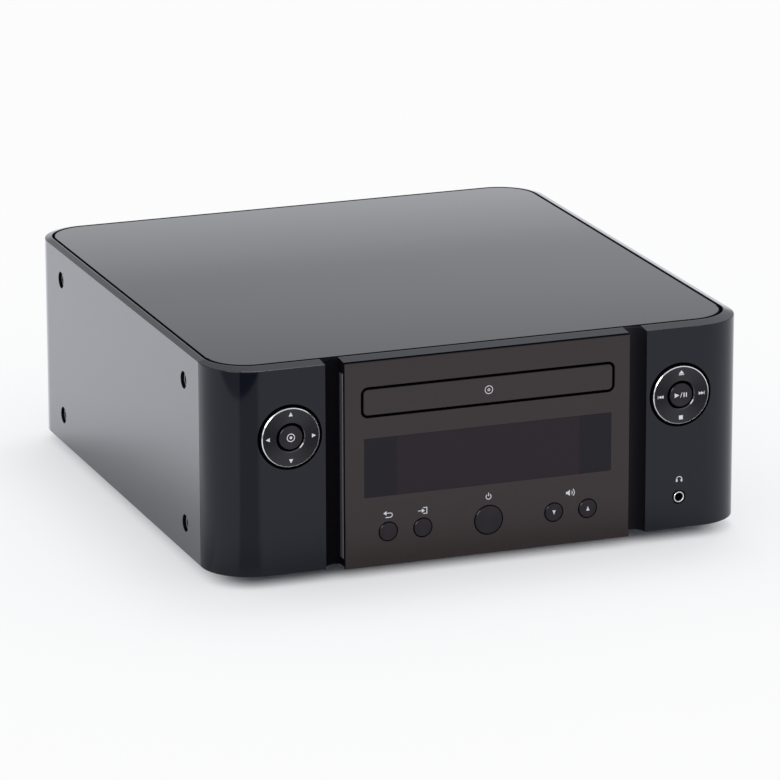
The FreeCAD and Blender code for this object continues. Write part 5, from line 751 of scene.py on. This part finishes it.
def frosted_strip():
    finish = Finish("frosted_diffuser")
    point = finish.point()
    frost = finish.noise(point, 0.0005, 2.0)
    body = finish.between(frost, paint(0.12, 0.122, 0.13), paint(0.15, 0.152, 0.16))
    thin = finish.soften(finish.axis(point, "Y"), THIN_END, THIN_GONE, 1.0, 0.0)
    return finish.end(finish.principled(
        Base_Color=finish.between(thin, body, paint(0.42, 0.42, 0.435)),
        Roughness=0.4 + frost * 0.15,
        Normal=finish.bump(frost, 6e-6)))


finishes["diffuser_plastic"] = frosted_strip()
print("strips start at y", round(STRIP_FRONT / MM, 1), "and are thin for",
      round((THIN_GONE - STRIP_FRONT) / MM, 1), "mm")

# %% [markdown]
# The display window is tinted acrylic over a dark display glass. Its middle, where the glass lies
# behind it, looks a little redder and lighter than its two ends. The window could be made clear,
# but dark tint lets so little through that a solid colour looks the same, so the colour shows the
# zones by where a point lies across the window.

# %% The tinted window
WINDOW_LOW, WINDOW_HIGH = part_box("display_window")
DISPLAY_LOW, DISPLAY_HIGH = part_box("display_module")
GLASS_EDGE = DISPLAY_HIGH.x - 10.5 * MM
GLASS_BLUR = 1.2 * MM


def tinted_window():
    finish = Finish("tinted_window")
    point = finish.point()
    across = finish.axis(point, "X").size()
    glass = finish.soften(across, GLASS_EDGE, GLASS_EDGE + GLASS_BLUR, 1.0, 0.0)
    wipe = finish.noise(point, 0.03, 4.0, 0.6)
    grid = finish.noise(point, 0.0009, 0.0)
    inside = finish.between(grid, paint(0.0135, 0.0068, 0.0125), paint(0.0155, 0.008, 0.0145))
    return finish.end(finish.principled(
        Base_Color=finish.between(glass, paint(0.0055, 0.0035, 0.0085), inside),
        Roughness=0.045 + wipe * 0.02,
        Normal=finish.bump(wipe, 1e-6),
        Specular_IOR_Level=0.28))


finishes["tinted_window"] = tinted_window()
print("window is", round((WINDOW_HIGH.x - WINDOW_LOW.x) / MM, 1), "mm wide, display",
      round((DISPLAY_HIGH.x - DISPLAY_LOW.x) / MM, 1))

# %% [markdown]
# The four-way rings are turned on a lathe. The tool leaves fine circles round the axis, and the two
# chamfers are cut last, through the black. The outer one is bright bare metal on its inner part;
# its outer part and the sides behind the front get painted shade, for the gap round the ring. The
# one in the bore is painted dark, as painted shade. All follow from one number, the distance of a
# point from the ring's axis. Real circles scatter light into two pale fans, but they are too fine to
# render, so the fans are painted, by the angle round the axis.

# %% The spun rings
CUT_START, CUT_END, BORE_CUT = 14.45 * MM, 14.85 * MM, 7.45 * MM
RING_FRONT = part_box("menu_ring")[0].y
CUT_DEPTH = 1.3 * MM
TOOL_PITCH, WAVES_PER_SCALE = 0.25 * MM, 20
SHEEN_TURN = math.radians(-165)
FAN_SHARE = 0.85


def sheen_fan(across, up):
    """1 along the two pale fans that fine circles show round their axis, and 0 midway between them."""
    angle = up.math("ARCTAN2", up, across)
    return angle.math("COSINE", angle * 2 + SHEEN_TURN) * 0.5 + 0.5


def spun_ring(name):
    finish = Finish(f"{name}_spun_metal")
    middle = RING_MIDDLES[name]
    point = finish.point((middle.x, 0, middle.z))
    across, depth, up = (finish.axis(point, letter) for letter in "XYZ")
    radius = (across * across + up * up) ** 0.5
    # Outside the cut and behind the front, the ring gets painted shade.
    front = depth.below(RING_FRONT + CUT_DEPTH) * radius.below(CUT_END)
    bore = radius.below(BORE_CUT)
    bare = any_of(radius.above(CUT_START), bore) * front
    tool = finish.node("ShaderNodeTexWave", {"wave_type": "RINGS", "rings_direction": "Y"},
                       {"Vector": point, "Scale": 1 / (TOOL_PITCH * WAVES_PER_SCALE), "Distortion": 0.3,
                        "Detail": 1.0})
    wipe = finish.noise(point, 0.006, 3.0)
    fan = wipe * (1 - FAN_SHARE) + sheen_fan(across, up) * FAN_SHARE
    black = finish.between(fan, paint(0.001, 0.0008, 0.0022), paint(0.034, 0.0325, 0.0365))
    # The bore's cut is painted dark, as painted shade.
    cut = finish.between(bore, paint(0.97, 0.97, 0.98), paint(0.11, 0.11, 0.115))
    turned = finish.principled(
        Base_Color=finish.between(bare, black, cut),
        Roughness=0.34 - bare * 0.26 + wipe * 0.05,
        Metallic=bare,
        Normal=finish.bump(tool * (1 - bare), 5e-6),
        IOR=1.34)
    return finish.end(finish.mixed(1 - front, turned, shade_black(finish)))


for ring in RING_MIDDLES:
    finishes[ring] = spun_ring(ring)
print("rings dressed:", list(RING_MIDDLES))

# %% [markdown]
# The round keys are polished on their faces alone, with painted fans of sheen, fainter than those
# of the rings. Their sides and the outermost line of the chamfer get painted shade, which draws a
# black circle round each. The headphone socket has a bright ring, and its mouth gets painted
# shade. Each is again a matter of the distance from an axis.

# %% The keys and the headphone ring
KEY_RADII = {"back_button": 4.65, "input_button": 4.65, "power_button": 7.25, "volume_down_button": 4.65,
             "volume_up_button": 4.65, "enter_button": 6.1, "play_button": 6.1}
KEY_EDGE, KEY_SHOWN = 0.16 * MM, 0.5 * MM
JACK_MOUTH = 2.15 * MM


def round_key(name, radius):
    finish = Finish(f"{name}_gloss")
    middle, front = middle_of(name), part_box(name)[0].y
    x, y, z = place(finish)
    # Round the face the key gets painted shade, and the fans on its face are painted sheen.
    face = round_place(x, z, middle.x, middle.z, radius - KEY_EDGE) * y.below(front + KEY_SHOWN)
    wipe = finish.noise(finish.point(), 0.004, 3.0)
    fan = sheen_fan(x - middle.x, z - middle.z) * FAN_SHARE + wipe * (1 - FAN_SHARE)
    polished = finish.principled(
        Base_Color=finish.between(fan, paint(0.0045, 0.0015, 0.0035), paint(0.0125, 0.0065, 0.0115)),
        Roughness=0.13 + wipe * 0.04,
        Normal=finish.bump(wipe, 1e-6),
        IOR=1.42)
    return finish.end(finish.mixed(face, shade_black(finish), polished))


def headphone_ring():
    finish = Finish("headphone_ring")
    x, y, z = place(finish)
    # The mouth gets painted shade.
    mouth = round_place(x, z, JACK_MIDDLE.x, JACK_MIDDLE.z, JACK_MOUTH)
    bright = gloss(finish, paint(0.86, 0.86, 0.88), paint(0.78, 0.78, 0.8), 0.14, 0.05, 0.004, 0.0004, 1e-6,
                   metallic=1.0)
    return finish.end(finish.mixed(mouth, bright, shade_black(finish)))


for key, key_radius in KEY_RADII.items():
    finishes[key] = round_key(key, key_radius * MM)
finishes["phones_jack_ring"] = headphone_ring()
print("keys dressed:", len(KEY_RADII))

# %% [markdown]
# A circuit board is glass cloth under green solder resist, with copper tracks that show as slightly
# raised, lighter bands. The edges of a cell pattern give a net of tracks, and a fine weave lies
# under it all. What stands on the board is part of the same solid here, so the height and the place
# choose its look: black chips, dark cans with bright lids, and a transformer with a taped winding
# between stacks of sheet steel.

# %% The circuit boards
BOARD_TOP = 17.7 * MM
LID_THICK = 0.3 * MM
TRACK_CELLS, TRACK_WIDTH = 160.0, 0.09
STACK_BANDS = 90.0
CHIP_BLACK, LID_TIN, TAPE_YELLOW = paint(0.012, 0.012, 0.014), paint(0.6, 0.6, 0.62), paint(0.5, 0.33, 0.04)


def wound_core(finish, point, y, winding_middle, winding_half):
    """Stacks of sheet steel on both sides of a taped winding."""
    stack = finish.node("ShaderNodeTexWave", {"bands_direction": "X"},
                        {"Vector": point, "Scale": STACK_BANDS})
    laminated = finish.between(stack, paint(0.1, 0.095, 0.09), paint(0.2, 0.19, 0.18))
    return finish.between((y - winding_middle).size().below(winding_half), laminated, TAPE_YELLOW)


def circuit_board(name, can_top, transformer=None):
    """A board whose cans end at can_top. A transformer is its right and rear edge and its winding."""
    finish = Finish(name)
    point = finish.point()
    x, y, z = (finish.axis(point, letter) for letter in "XYZ")
    cells = finish.node("ShaderNodeTexVoronoi", {"feature": "DISTANCE_TO_EDGE"},
                        {"Vector": point, "Scale": TRACK_CELLS, "Randomness": 0.75}, output="Distance")
    track = cells.below(TRACK_WIDTH)
    weave = finish.noise(point, 0.0008, 1.0)
    resist = finish.between(track, paint(0.008, 0.075, 0.03), paint(0.02, 0.16, 0.06))
    board = finish.between(weave * 0.3, resist, paint(0.03, 0.2, 0.09))
    part = z.above(BOARD_TOP)
    lid = z.above(can_top - LID_THICK) * z.below(can_top + LID_THICK)
    lid = lid * finish.facing("Z").above(TURNED_UP)
    colour = finish.between(part, board, CHIP_BLACK)
    if transformer:
        right, rear, *winding = transformer
        colour = finish.between(x.below(right) * y.below(rear) * part, colour,
                                wound_core(finish, point, y, *winding))
    return finish.end(finish.principled(
        Base_Color=finish.between(lid, colour, LID_TIN),
        Metallic=lid,
        Roughness=0.34 + weave * 0.1,
        Normal=finish.bump((track + weave * 0.3) * (1 - part), 2e-5)))


SMALL_CAN_TOP, LARGE_CAN_TOP, NO_CANS = 29.6 * MM, 49.6 * MM, 1000 * MM
TRANSFORMER = (-86 * MM, 1 * MM, -20 * MM, 12 * MM)
finishes["green_board"] = circuit_board("front_board", NO_CANS)
finishes["main_circuit_board"] = circuit_board("main_board", SMALL_CAN_TOP)
finishes["power_supply_board"] = circuit_board("supply_board", LARGE_CAN_TOP, TRANSFORMER)
print("recipes in all:", len(finishes))

# %% [markdown]
# Every solid takes the finish of its own material slot, unless it has one of its own: the cover is
# sprayed where the front is moulded, each ring's circles run round its own axis, and the masks
# differ from piece to piece.

# %% Dress the solids
own_finish = {"cabinet_cover": "cover_lacquer", "front_panel": "front_moulding"}
for name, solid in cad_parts.items():
    for slot in solid.material_slots:
        chosen = own_finish.get(name, name)
        slot.material = finishes[chosen if chosen in finishes else slot.material.name.split(".")[0]]
print("dressed", len(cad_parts), "solids")

# %% [markdown]
# The marks on the front are printed in white ink. Each is a flat outline, so a filled
# two-dimensional curve is the easiest way: it takes holes and hollows as they come. Turned into a
# mesh, stood up and laid on its face, it is a film a twentieth of a millimetre thick. All are plain
# signs that anyone may use: arrows, play, stop, skip, eject, power, a loudspeaker and headphones.

# %% White ink
INK_THICK, INK_SUNK = 0.05, 0.01


def white_ink():
    finish = Finish("white_ink")
    screen = finish.noise(finish.point(), 0.00035, 2.0)
    return finish.end(finish.principled(
        Base_Color=finish.between(screen, paint(0.86, 0.86, 0.87), paint(0.96, 0.96, 0.97)),
        Roughness=0.42 + screen * 0.15,
        Normal=finish.bump(screen, 4e-6)))


INK = white_ink()
print("ink is", INK_THICK, "mm thick")

# %% [markdown]
# Every piece that we add is finished in the same way: doubled corners are joined, the faces are
# turned outwards, and the object is told on which body it rides.

# %% Finish a piece, and print one
WELD_GAP = 1e-7


def weld(mesh):
    """Joins doubled corners and turns every face outwards."""
    work = bmesh.new()
    work.from_mesh(mesh)
    bmesh.ops.remove_doubles(work, verts=work.verts, dist=WELD_GAP)
    bmesh.ops.recalc_face_normals(work, faces=work.faces)
    work.to_mesh(mesh)
    work.free()


def piece(name, mesh, body):
    """Puts a mesh, whose place is already in it, in the scene, riding on its body."""
    weld(mesh)
    made = bpy.data.objects.new(name, mesh)
    bpy.context.scene.collection.objects.link(made)
    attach(made, body)


def printed(name, body, loops, centre, face, slot, rear=False):
    """A film of ink: closed outlines in millimetres about centre (x, z), on a face at y, riding on body."""
    curve = bpy.data.curves.new(name, "CURVE")
    curve.dimensions = "2D"
    curve.fill_mode = "BOTH"
    curve.extrude = INK_THICK / 2
    for loop in loops:
        spline = curve.splines.new("POLY")
        spline.points.add(len(loop) - 1)
        for spline_point, (x, z) in zip(spline.points, loop):
            spline_point.co = (x, z, 0, 1)
        spline.use_cyclic_u = True
    flat = bpy.data.objects.new(f"{name}_outline", curve)
    mesh = bpy.data.meshes.new_from_object(flat)
    bpy.data.objects.remove(flat)
    upright = Matrix.Rotation(math.radians(90), 4, "X")
    if rear:
        upright = Matrix.Rotation(math.radians(180), 4, "Z") @ upright
    proud = (INK_THICK / 2 - INK_SUNK) * (1 if rear else -1)
    spot = Matrix.Translation(Vector((centre[0], face + proud, centre[1])) * MM)
    mesh.transform(spot @ Matrix.Scale(MM, 4) @ upright)
    mesh.materials.clear()
    mesh.materials.append(INK)
    piece(name, mesh, body)


# %% [markdown]
# Signs are made of a few kinds of outline, all in millimetres: arcs and bands of a ring, bars,
# strokes along a path, and slim triangles. Each comes from a formula, so a sign is told only its
# radii, widths and angles.

# %% Outlines for signs
def arc(radius, start, stop, steps=24, x=0, z=0):
    """Points on a circle, by angles in degrees."""
    turns = [math.radians(start + (stop - start) * step / steps) for step in range(steps + 1)]
    return [(x + radius * math.cos(turn), z + radius * math.sin(turn)) for turn in turns]


def band(radius, width, start, stop, x=0, z=0):
    """A piece of a ring, as one closed outline."""
    outer = arc(radius + width / 2, start, stop, x=x, z=z)
    return outer + arc(radius - width / 2, stop, start, x=x, z=z)


def full_ring(radius, width):
    """A whole ring, as an outer outline and the hole in it."""
    return [arc(radius + width / 2, 0, 345, 23), arc(radius - width / 2, 345, 0, 23)]


def bar(left, right, low, high):
    """The corners of an upright rectangle."""
    return [(left, low), (right, low), (right, high), (left, high)]


def stroke(path, width):
    """The outline of a line of even width that follows a path."""
    ends = [Vector(spot) for spot in path]
    sides = []
    for number, spot in enumerate(ends):
        before = (spot - ends[number - 1]).normalized() if number else (ends[1] - spot).normalized()
        after = (ends[number + 1] - spot).normalized() if number + 1 < len(ends) else before
        lean = (before + after).normalized()
        across = Vector((-lean.y, lean.x)) * width / 2 / max(lean.dot(before), 0.5)
        sides.append((spot + across, spot - across))
    return [tuple(left) for left, right in sides] + [tuple(right) for left, right in reversed(sides)]


def pointer(tip_x, tip_z, long, wide, turn=0):
    """A slim triangle whose tip is at the point given, turned in degrees from pointing right."""
    shape = [(0, 0), (-long, wide / 2), (-long, -wide / 2)]
    cosine, sine = math.cos(math.radians(turn)), math.sin(math.radians(turn))
    return [(tip_x + x * cosine - z * sine, tip_z + x * sine + z * cosine) for x, z in shape]


# %% [markdown]
# The signs themselves, in millimetres about the middle of each. Nearly all their lines are of one
# width, as from one printing screen. The marks of the right ring sit round its middle, and the two
# skip marks a little further in than the others.

# %% The front signs' shapes
LINE = 0.4
power_sign = [band(1.3, LINE, -235, 55), bar(-LINE / 2, LINE / 2, 0.3, 2.0)]
back_sign = [pointer(-2.6, 0.75, 1.7, 2.3, 180),
             stroke([(-0.85, 0.75)] + arc(1.1, 90, -90, 12, 1.0, -0.35) + [(-1.4, -1.45)], LINE)]
input_sign = [pointer(1.1, 0, 1.6, 2.2), bar(-2.5, -0.5, -LINE / 2, LINE / 2),
              stroke([(0.2, 1.5), (2.1, 1.5), (2.1, -1.5), (0.2, -1.5)], LINE)]
speaker_sign = [[(-2.5, -0.65), (-1.6, -0.65), (-0.45, -1.6), (-0.45, 1.6), (-1.6, 0.65), (-2.5, 0.65)],
                band(1.25, LINE, -48, 48, x=-0.4), band(2.35, LINE, -48, 48, x=-0.4)]
phones_sign = [band(1.45, LINE, 0, 180), [(-1.75, 0.1), (-1.75, -1.2), (-0.85, -1.2), (-0.85, 0.1)],
               [(1.75, 0.1), (1.75, -1.2), (0.85, -1.2), (0.85, 0.1)]]
disc_sign = full_ring(2.0, LINE * 0.8) + full_ring(0.55, LINE * 0.8)

eject = [pointer(0, 1.25, 1.7, 2.8, 90), bar(-1.4, 1.4, -1.15, -0.75)]
skip_right = [pointer(0.05, 0, 1.5, 1.7), pointer(1.35, 0, 1.5, 1.7), bar(1.37, 1.64, -0.85, 0.85)]
skip_left = [[(-x, z) for x, z in reversed(loop)] for loop in skip_right]
stop = [bar(-1.05, 1.05, -1.05, 1.05)]
play_pause = [pointer(-1.0, 0, 2.5, 2.4), [(-0.55, -1.3), (-0.25, -1.3), (0.65, 1.3), (0.35, 1.3)],
              bar(1.25, 1.8, -1.15, 1.15), bar(2.5, 3.05, -1.15, 1.15)]
ORBIT, SKIP_ORBIT = 11.5, 10.95


def moved(loops, x, z):
    """The same outlines elsewhere on the face."""
    return [[(point_x + x, point_z + z) for point_x, point_z in loop] for loop in loops]


transport_signs = (moved(eject, 0, ORBIT) + moved(stop, 0, -ORBIT)
                   + moved(skip_right, SKIP_ORBIT, 0) + moved(skip_left, -SKIP_ORBIT, 0))
print("outlines of the right ring's marks:", len(transport_signs))

# %% [markdown]
# Now they are printed. The faces that carry them, and the middles of the keys, are read from the
# solids, so the ink always lies on the part that it belongs to, and it rides on the same body.

# %% Print the front signs
def face_of(name):
    """Where the front of a solid lies along y, in millimetres."""
    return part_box(name)[0].y / MM


def across_at(name):
    """How far to the right the middle of a solid is, in millimetres."""
    return middle_of(name).x / MM


FASCIA_FACE, WING_FACE = face_of("centre_fascia"), face_of("front_panel")
KEY_FACE, RING_FACE = face_of("power_button"), face_of("menu_ring")
KEY_SIGN_HEIGHT, VOLUME_ARROW_HEIGHT = 31.4, 22.8
ring_x, ring_z = RING_MIDDLES["transport_ring"].x / MM, RING_MIDDLES["transport_ring"].z / MM
FRONT_SIGNS = (
    ("power_sign", "cabinet", power_sign, (0, 34.7), FASCIA_FACE, "gloss_black_acrylic"),
    ("back_sign", "cabinet", back_sign, (across_at("back_button"), KEY_SIGN_HEIGHT), FASCIA_FACE,
     "gloss_black_acrylic"),
    ("input_sign", "cabinet", input_sign, (across_at("input_button"), KEY_SIGN_HEIGHT), FASCIA_FACE,
     "gloss_black_acrylic"),
    ("volume_sign", "cabinet", speaker_sign, (43.6, 31.9), FASCIA_FACE, "gloss_black_acrylic"),
    ("phones_sign", "cabinet", phones_sign, (ring_x, 31.8), WING_FACE, "gloss_black_plastic"),
    ("disc_sign", "tray", disc_sign, (0, 89.4), face_of("tray_door"), "gloss_black_acrylic"),
    ("volume_down_sign", "volume_down_key", [pointer(0, -1.15, 2.2, 1.7, -90)],
     (across_at("volume_down_button"), VOLUME_ARROW_HEIGHT), KEY_FACE, "gloss_black_key"),
    ("volume_up_sign", "volume_up_key", [pointer(0, 1.15, 2.2, 1.7, 90)],
     (across_at("volume_up_button"), VOLUME_ARROW_HEIGHT), KEY_FACE, "gloss_black_key"),
    ("transport_signs", "transport_ring", transport_signs, (ring_x, ring_z), RING_FACE, "spun_black_metal"),
    ("play_pause_sign", "play_key", play_pause, (ring_x, ring_z), face_of("play_button"),
     "gloss_black_key"),
    ("enter_sign", "enter_key", full_ring(1.9, LINE) + [arc(0.7, 0, 345, 23)], (-ring_x, ring_z),
     face_of("enter_button"), "gloss_black_key"))
for sign in FRONT_SIGNS:
    printed(*sign)
print("signs printed on the front:", len(FRONT_SIGNS), "on faces at y",
      sorted({round(sign[4], 2) for sign in FRONT_SIGNS}))

# %% [markdown]
# What repeats is a job for Geometry Nodes. A Recipe is to such a tree what a Finish is to a
# material: it names the sizes that go in, adds nodes with one method, and at the end runs the tree
# once and keeps the plain mesh.

# %% A helper for Geometry Nodes
class Recipe:
    """A Geometry Nodes tree with named inputs."""

    def __init__(self, name, sizes):
        self.tree = bpy.data.node_groups.new(name, "GeometryNodeTree")
        self.sizes = sizes
        self.sockets = {}
        for label, value in sizes.items():
            kind = "NodeSocketInt" if isinstance(value, int) else "NodeSocketFloat"
            self.sockets[label] = self.tree.interface.new_socket(label, in_out="INPUT", socket_type=kind)
        self.tree.interface.new_socket("Geometry", in_out="OUTPUT", socket_type="NodeSocketGeometry")
        self.entry = self.tree.nodes.new("NodeGroupInput")
        self.exit = self.tree.nodes.new("NodeGroupOutput")

    def size(self, label):
        return self.entry.outputs[label]

    def node(self, kind, settings=None, inputs=None, output=0):
        made = self.tree.nodes.new(kind)
        for name, value in (settings or {}).items():
            setattr(made, name, value)
        for name, value in (inputs or {}).items():
            if isinstance(value, bpy.types.NodeSocket):
                self.tree.links.new(value, made.inputs[name])
            else:
                made.inputs[name].default_value = value
        return made.outputs[output]

    def make(self, name, geometry, material):
        """Ends the tree, runs it on an empty mesh, and returns the plain mesh that it gives."""
        real = self.node("GeometryNodeRealizeInstances", {}, {"Geometry": geometry})
        done = self.node("GeometryNodeSetMaterial", {}, {"Geometry": real, "Material": material})
        self.tree.links.new(done, self.exit.inputs[0])
        holder = bpy.data.objects.new(f"{name}_recipe", bpy.data.meshes.new(f"{name}_recipe"))
        bpy.context.scene.collection.objects.link(holder)
        modifier = holder.modifiers.new("recipe", "NODES")
        modifier.node_group = self.tree
        for label, value in self.sizes.items():
            modifier[self.sockets[label].identifier] = value
        evaluated = holder.evaluated_get(bpy.context.evaluated_depsgraph_get())
        mesh = bpy.data.meshes.new_from_object(evaluated)
        mesh.name = name
        bpy.data.objects.remove(holder)
        return mesh


# %% [markdown]
# The left ring carries the same slim arrow four times, pointing outwards: a circle of points, an
# arrow on each, turned with the circle. The tree's inputs are the real sizes, so it could serve a
# ring with any number of arrows.

# %% Geometry Nodes: the four arrows
def arrows_mesh():
    recipe = Recipe("arrows_round_a_ring", {"Arrows": 4, "Orbit": ORBIT * MM, "Half Length": 1.4 * MM,
                                            "Slimness": 0.85, "Thickness": INK_THICK * MM})
    points = recipe.node("GeometryNodeMeshCircle", {"fill_type": "NONE"},
                         {"Vertices": recipe.size("Arrows"), "Radius": recipe.size("Orbit")})
    arrow = recipe.node("GeometryNodeMeshCircle", {"fill_type": "NGON"},
                        {"Vertices": 3, "Radius": recipe.size("Half Length")})
    slim = recipe.node("ShaderNodeCombineXYZ", {}, {"X": 1.0, "Y": recipe.size("Slimness"), "Z": 1.0})
    shaped = recipe.node("GeometryNodeTransform", {}, {"Geometry": arrow, "Scale": slim})
    number = recipe.node("GeometryNodeInputIndex")
    step = recipe.node("ShaderNodeMath", {"operation": "DIVIDE"}, {0: math.tau, 1: recipe.size("Arrows")})
    angle = recipe.node("ShaderNodeMath", {"operation": "MULTIPLY"}, {0: number, 1: step})
    spin = recipe.node("ShaderNodeCombineXYZ", {}, {"Z": angle})
    rotation = recipe.node("FunctionNodeEulerToRotation", {}, {"Euler": spin})
    placed = recipe.node("GeometryNodeInstanceOnPoints", {},
                         {"Points": points, "Instance": shaped, "Rotation": rotation})
    solid = recipe.node("GeometryNodeRealizeInstances", {}, {"Geometry": placed})
    thick = recipe.node("GeometryNodeExtrudeMesh", {"mode": "FACES"},
                        {"Mesh": solid, "Offset Scale": recipe.size("Thickness"), "Individual": False})
    lid = recipe.node("GeometryNodeFlipFaces", {}, {"Mesh": solid})
    joined = recipe.node("GeometryNodeJoinGeometry")
    recipe.tree.links.new(lid, joined.node.inputs[0])
    recipe.tree.links.new(thick, joined.node.inputs[0])
    return recipe.make("menu_arrows", joined, INK)


arrows = arrows_mesh()
arrows.transform(Matrix.Translation(Vector((-ring_x, RING_FACE + INK_SUNK, ring_z)) * MM)
                 @ Matrix.Rotation(math.radians(90), 4, "X"))
piece("menu_arrows", arrows, "menu_ring")
print("arrows:", len(arrows.polygons), "faces")

# %% [markdown]
# On the back, a coloured collar sits round the foot of each phono sleeve, white for the left sound
# channel and red for the right. A row of collars is a line of points with a lathe-turned ring on
# each, so one tree makes both rows: a small rectangle is swept round a circle, and its middle
# radius, width, thickness, number and pitch are inputs.

# %% Geometry Nodes: the phono collars
SLEEVES_LOW, SLEEVES_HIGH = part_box("phono_sleeves")
SLEEVE_RADIUS, SLEEVE_PITCH, COLLARS = 4.15, 16.0, 3
COLLAR_GAP, COLLAR_WIDTH, COLLAR_THICK = 0.12, 1.5, 0.9
PANEL_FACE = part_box("rear_panel")[1].y / MM
COLLAR_RADIUS = SLEEVE_RADIUS + COLLAR_GAP + COLLAR_WIDTH / 2


def collars_mesh(name, material):
    recipe = Recipe(name, {"Collars": COLLARS, "Pitch": SLEEVE_PITCH * MM, "Width": COLLAR_WIDTH * MM,
                           "Middle Radius": COLLAR_RADIUS * MM, "Thickness": COLLAR_THICK * MM})
    step = recipe.node("ShaderNodeCombineXYZ", {}, {"X": recipe.size("Pitch")})
    points = recipe.node("GeometryNodeMeshLine", {}, {"Count": recipe.size("Collars"), "Offset": step})
    loop = recipe.node("GeometryNodeCurvePrimitiveCircle", {},
                       {"Resolution": 48, "Radius": recipe.size("Middle Radius")})
    section = recipe.node("GeometryNodeCurvePrimitiveQuadrilateral", {},
                          {"Width": recipe.size("Width"), "Height": recipe.size("Thickness")})
    collar = recipe.node("GeometryNodeCurveToMesh", {}, {"Curve": loop, "Profile Curve": section})
    placed = recipe.node("GeometryNodeInstanceOnPoints", {}, {"Points": points, "Instance": collar})
    return recipe.make(name, placed, material)


for channel, colour_slot, row_height in (("left", "white_acetal", SLEEVES_HIGH.z / MM - SLEEVE_RADIUS),
                                         ("right", "red_nylon", SLEEVES_LOW.z / MM + SLEEVE_RADIUS)):
    collars = collars_mesh(f"phono_collars_{channel}", finishes[colour_slot])
    first = Vector((SLEEVES_LOW.x / MM + SLEEVE_RADIUS, PANEL_FACE + COLLAR_THICK / 2, row_height)) * MM
    collars.transform(Matrix.Translation(first) @ Matrix.Rotation(math.radians(90), 4, "X"))
    piece(f"phono_collars_{channel}", collars, "cabinet")
    print(f"{channel} collars: {len(collars.polygons)} faces, first at",
          [round(value / MM, 1) for value in first])

# %% [markdown]
# The rear panel has its own small signs, printed the other way round because they are read from
# behind: plus and minus over the speaker levers, a loudspeaker, arrows in and out over the phono
# sockets, an aerial, three joined boxes for the network and a wave for the mains.

# %% The rear signs' shapes
plus_sign = [[(-1.2, -0.2), (-0.2, -0.2), (-0.2, -1.2), (0.2, -1.2), (0.2, -0.2), (1.2, -0.2), (1.2, 0.2),
              (0.2, 0.2), (0.2, 1.2), (-0.2, 1.2), (-0.2, 0.2), (-1.2, 0.2)]]
minus_sign = [bar(-1.2, 1.2, -0.2, 0.2)]
inward_sign = [pointer(0, -0.3, 1.5, 2.0, -90), bar(-0.17, 0.17, 1.2, 2.4), bar(-1.6, 1.6, -1.3, -0.95)]
outward_sign = [pointer(0, 2.5, 1.5, 2.0, 90), bar(-0.17, 0.17, -0.3, 1.0), bar(-1.6, 1.6, -1.3, -0.95)]
waves = [band(radius, LINE, start, start + 100, z=0.9) for radius in (1.5, 2.6) for start in (-50, 130)]
aerial_sign = [bar(-0.17, 0.17, -2.2, 0.6), arc(0.5, 0, 345, 23, z=0.9)] + waves
network_sign = [bar(-0.9, 0.9, 0.7, 1.9), bar(-2.6, -0.8, -1.9, -0.7), bar(0.8, 2.6, -1.9, -0.7),
                bar(-0.12, 0.12, 0.0, 0.7), bar(-1.82, 1.82, -0.24, 0.0), bar(-1.82, -1.58, -0.7, -0.24),
                bar(1.58, 1.82, -0.7, -0.24)]
mains_sign = [band(0.9, LINE, 0, 180, x=-0.9), band(0.9, LINE, 180, 360, x=0.9)]
print("outlines of the aerial's sign:", len(aerial_sign), "of the network's:", len(network_sign))

# %% [markdown]
# Each sign goes over the middle of its socket, which is again read from the solids. The heights are
# those of the free strips between the rows of sockets.

# %% Print the rear signs
LEVER_SIGN_HEIGHT, PHONO_SIGN_HEIGHT = 51.2, 61.5
rear_signs = {"speaker": (speaker_sign, (across_at("speaker_terminal_block"), 58.0)),
              "aerial": (aerial_sign, (across_at("antenna_socket"), 85.5)),
              "network": (network_sign, (across_at("network_socket"), 36.5)),
              "mains": (mains_sign, (across_at("mains_inlet"), 46.0)),
              "light_in": (inward_sign, (across_at("optical_sockets"), 35.0))}
for side in ("left", "right"):
    rear_signs[f"{side}_plus"] = (plus_sign, (across_at(f"{side}_red_lever"), LEVER_SIGN_HEIGHT))
    rear_signs[f"{side}_minus"] = (minus_sign, (across_at(f"{side}_black_lever"), LEVER_SIGN_HEIGHT))
for number in range(COLLARS):
    shape = outward_sign if number == COLLARS - 1 else inward_sign
    sleeve_x = SLEEVES_LOW.x / MM + SLEEVE_RADIUS + number * SLEEVE_PITCH
    rear_signs[f"phono_{number + 1}"] = (shape, (sleeve_x, PHONO_SIGN_HEIGHT))
for label, (shape, centre) in rear_signs.items():
    printed(f"{label}_rear_sign", "cabinet", shape, centre, PANEL_FACE, "black_steel", rear=True)
print("rear signs:", len(rear_signs))
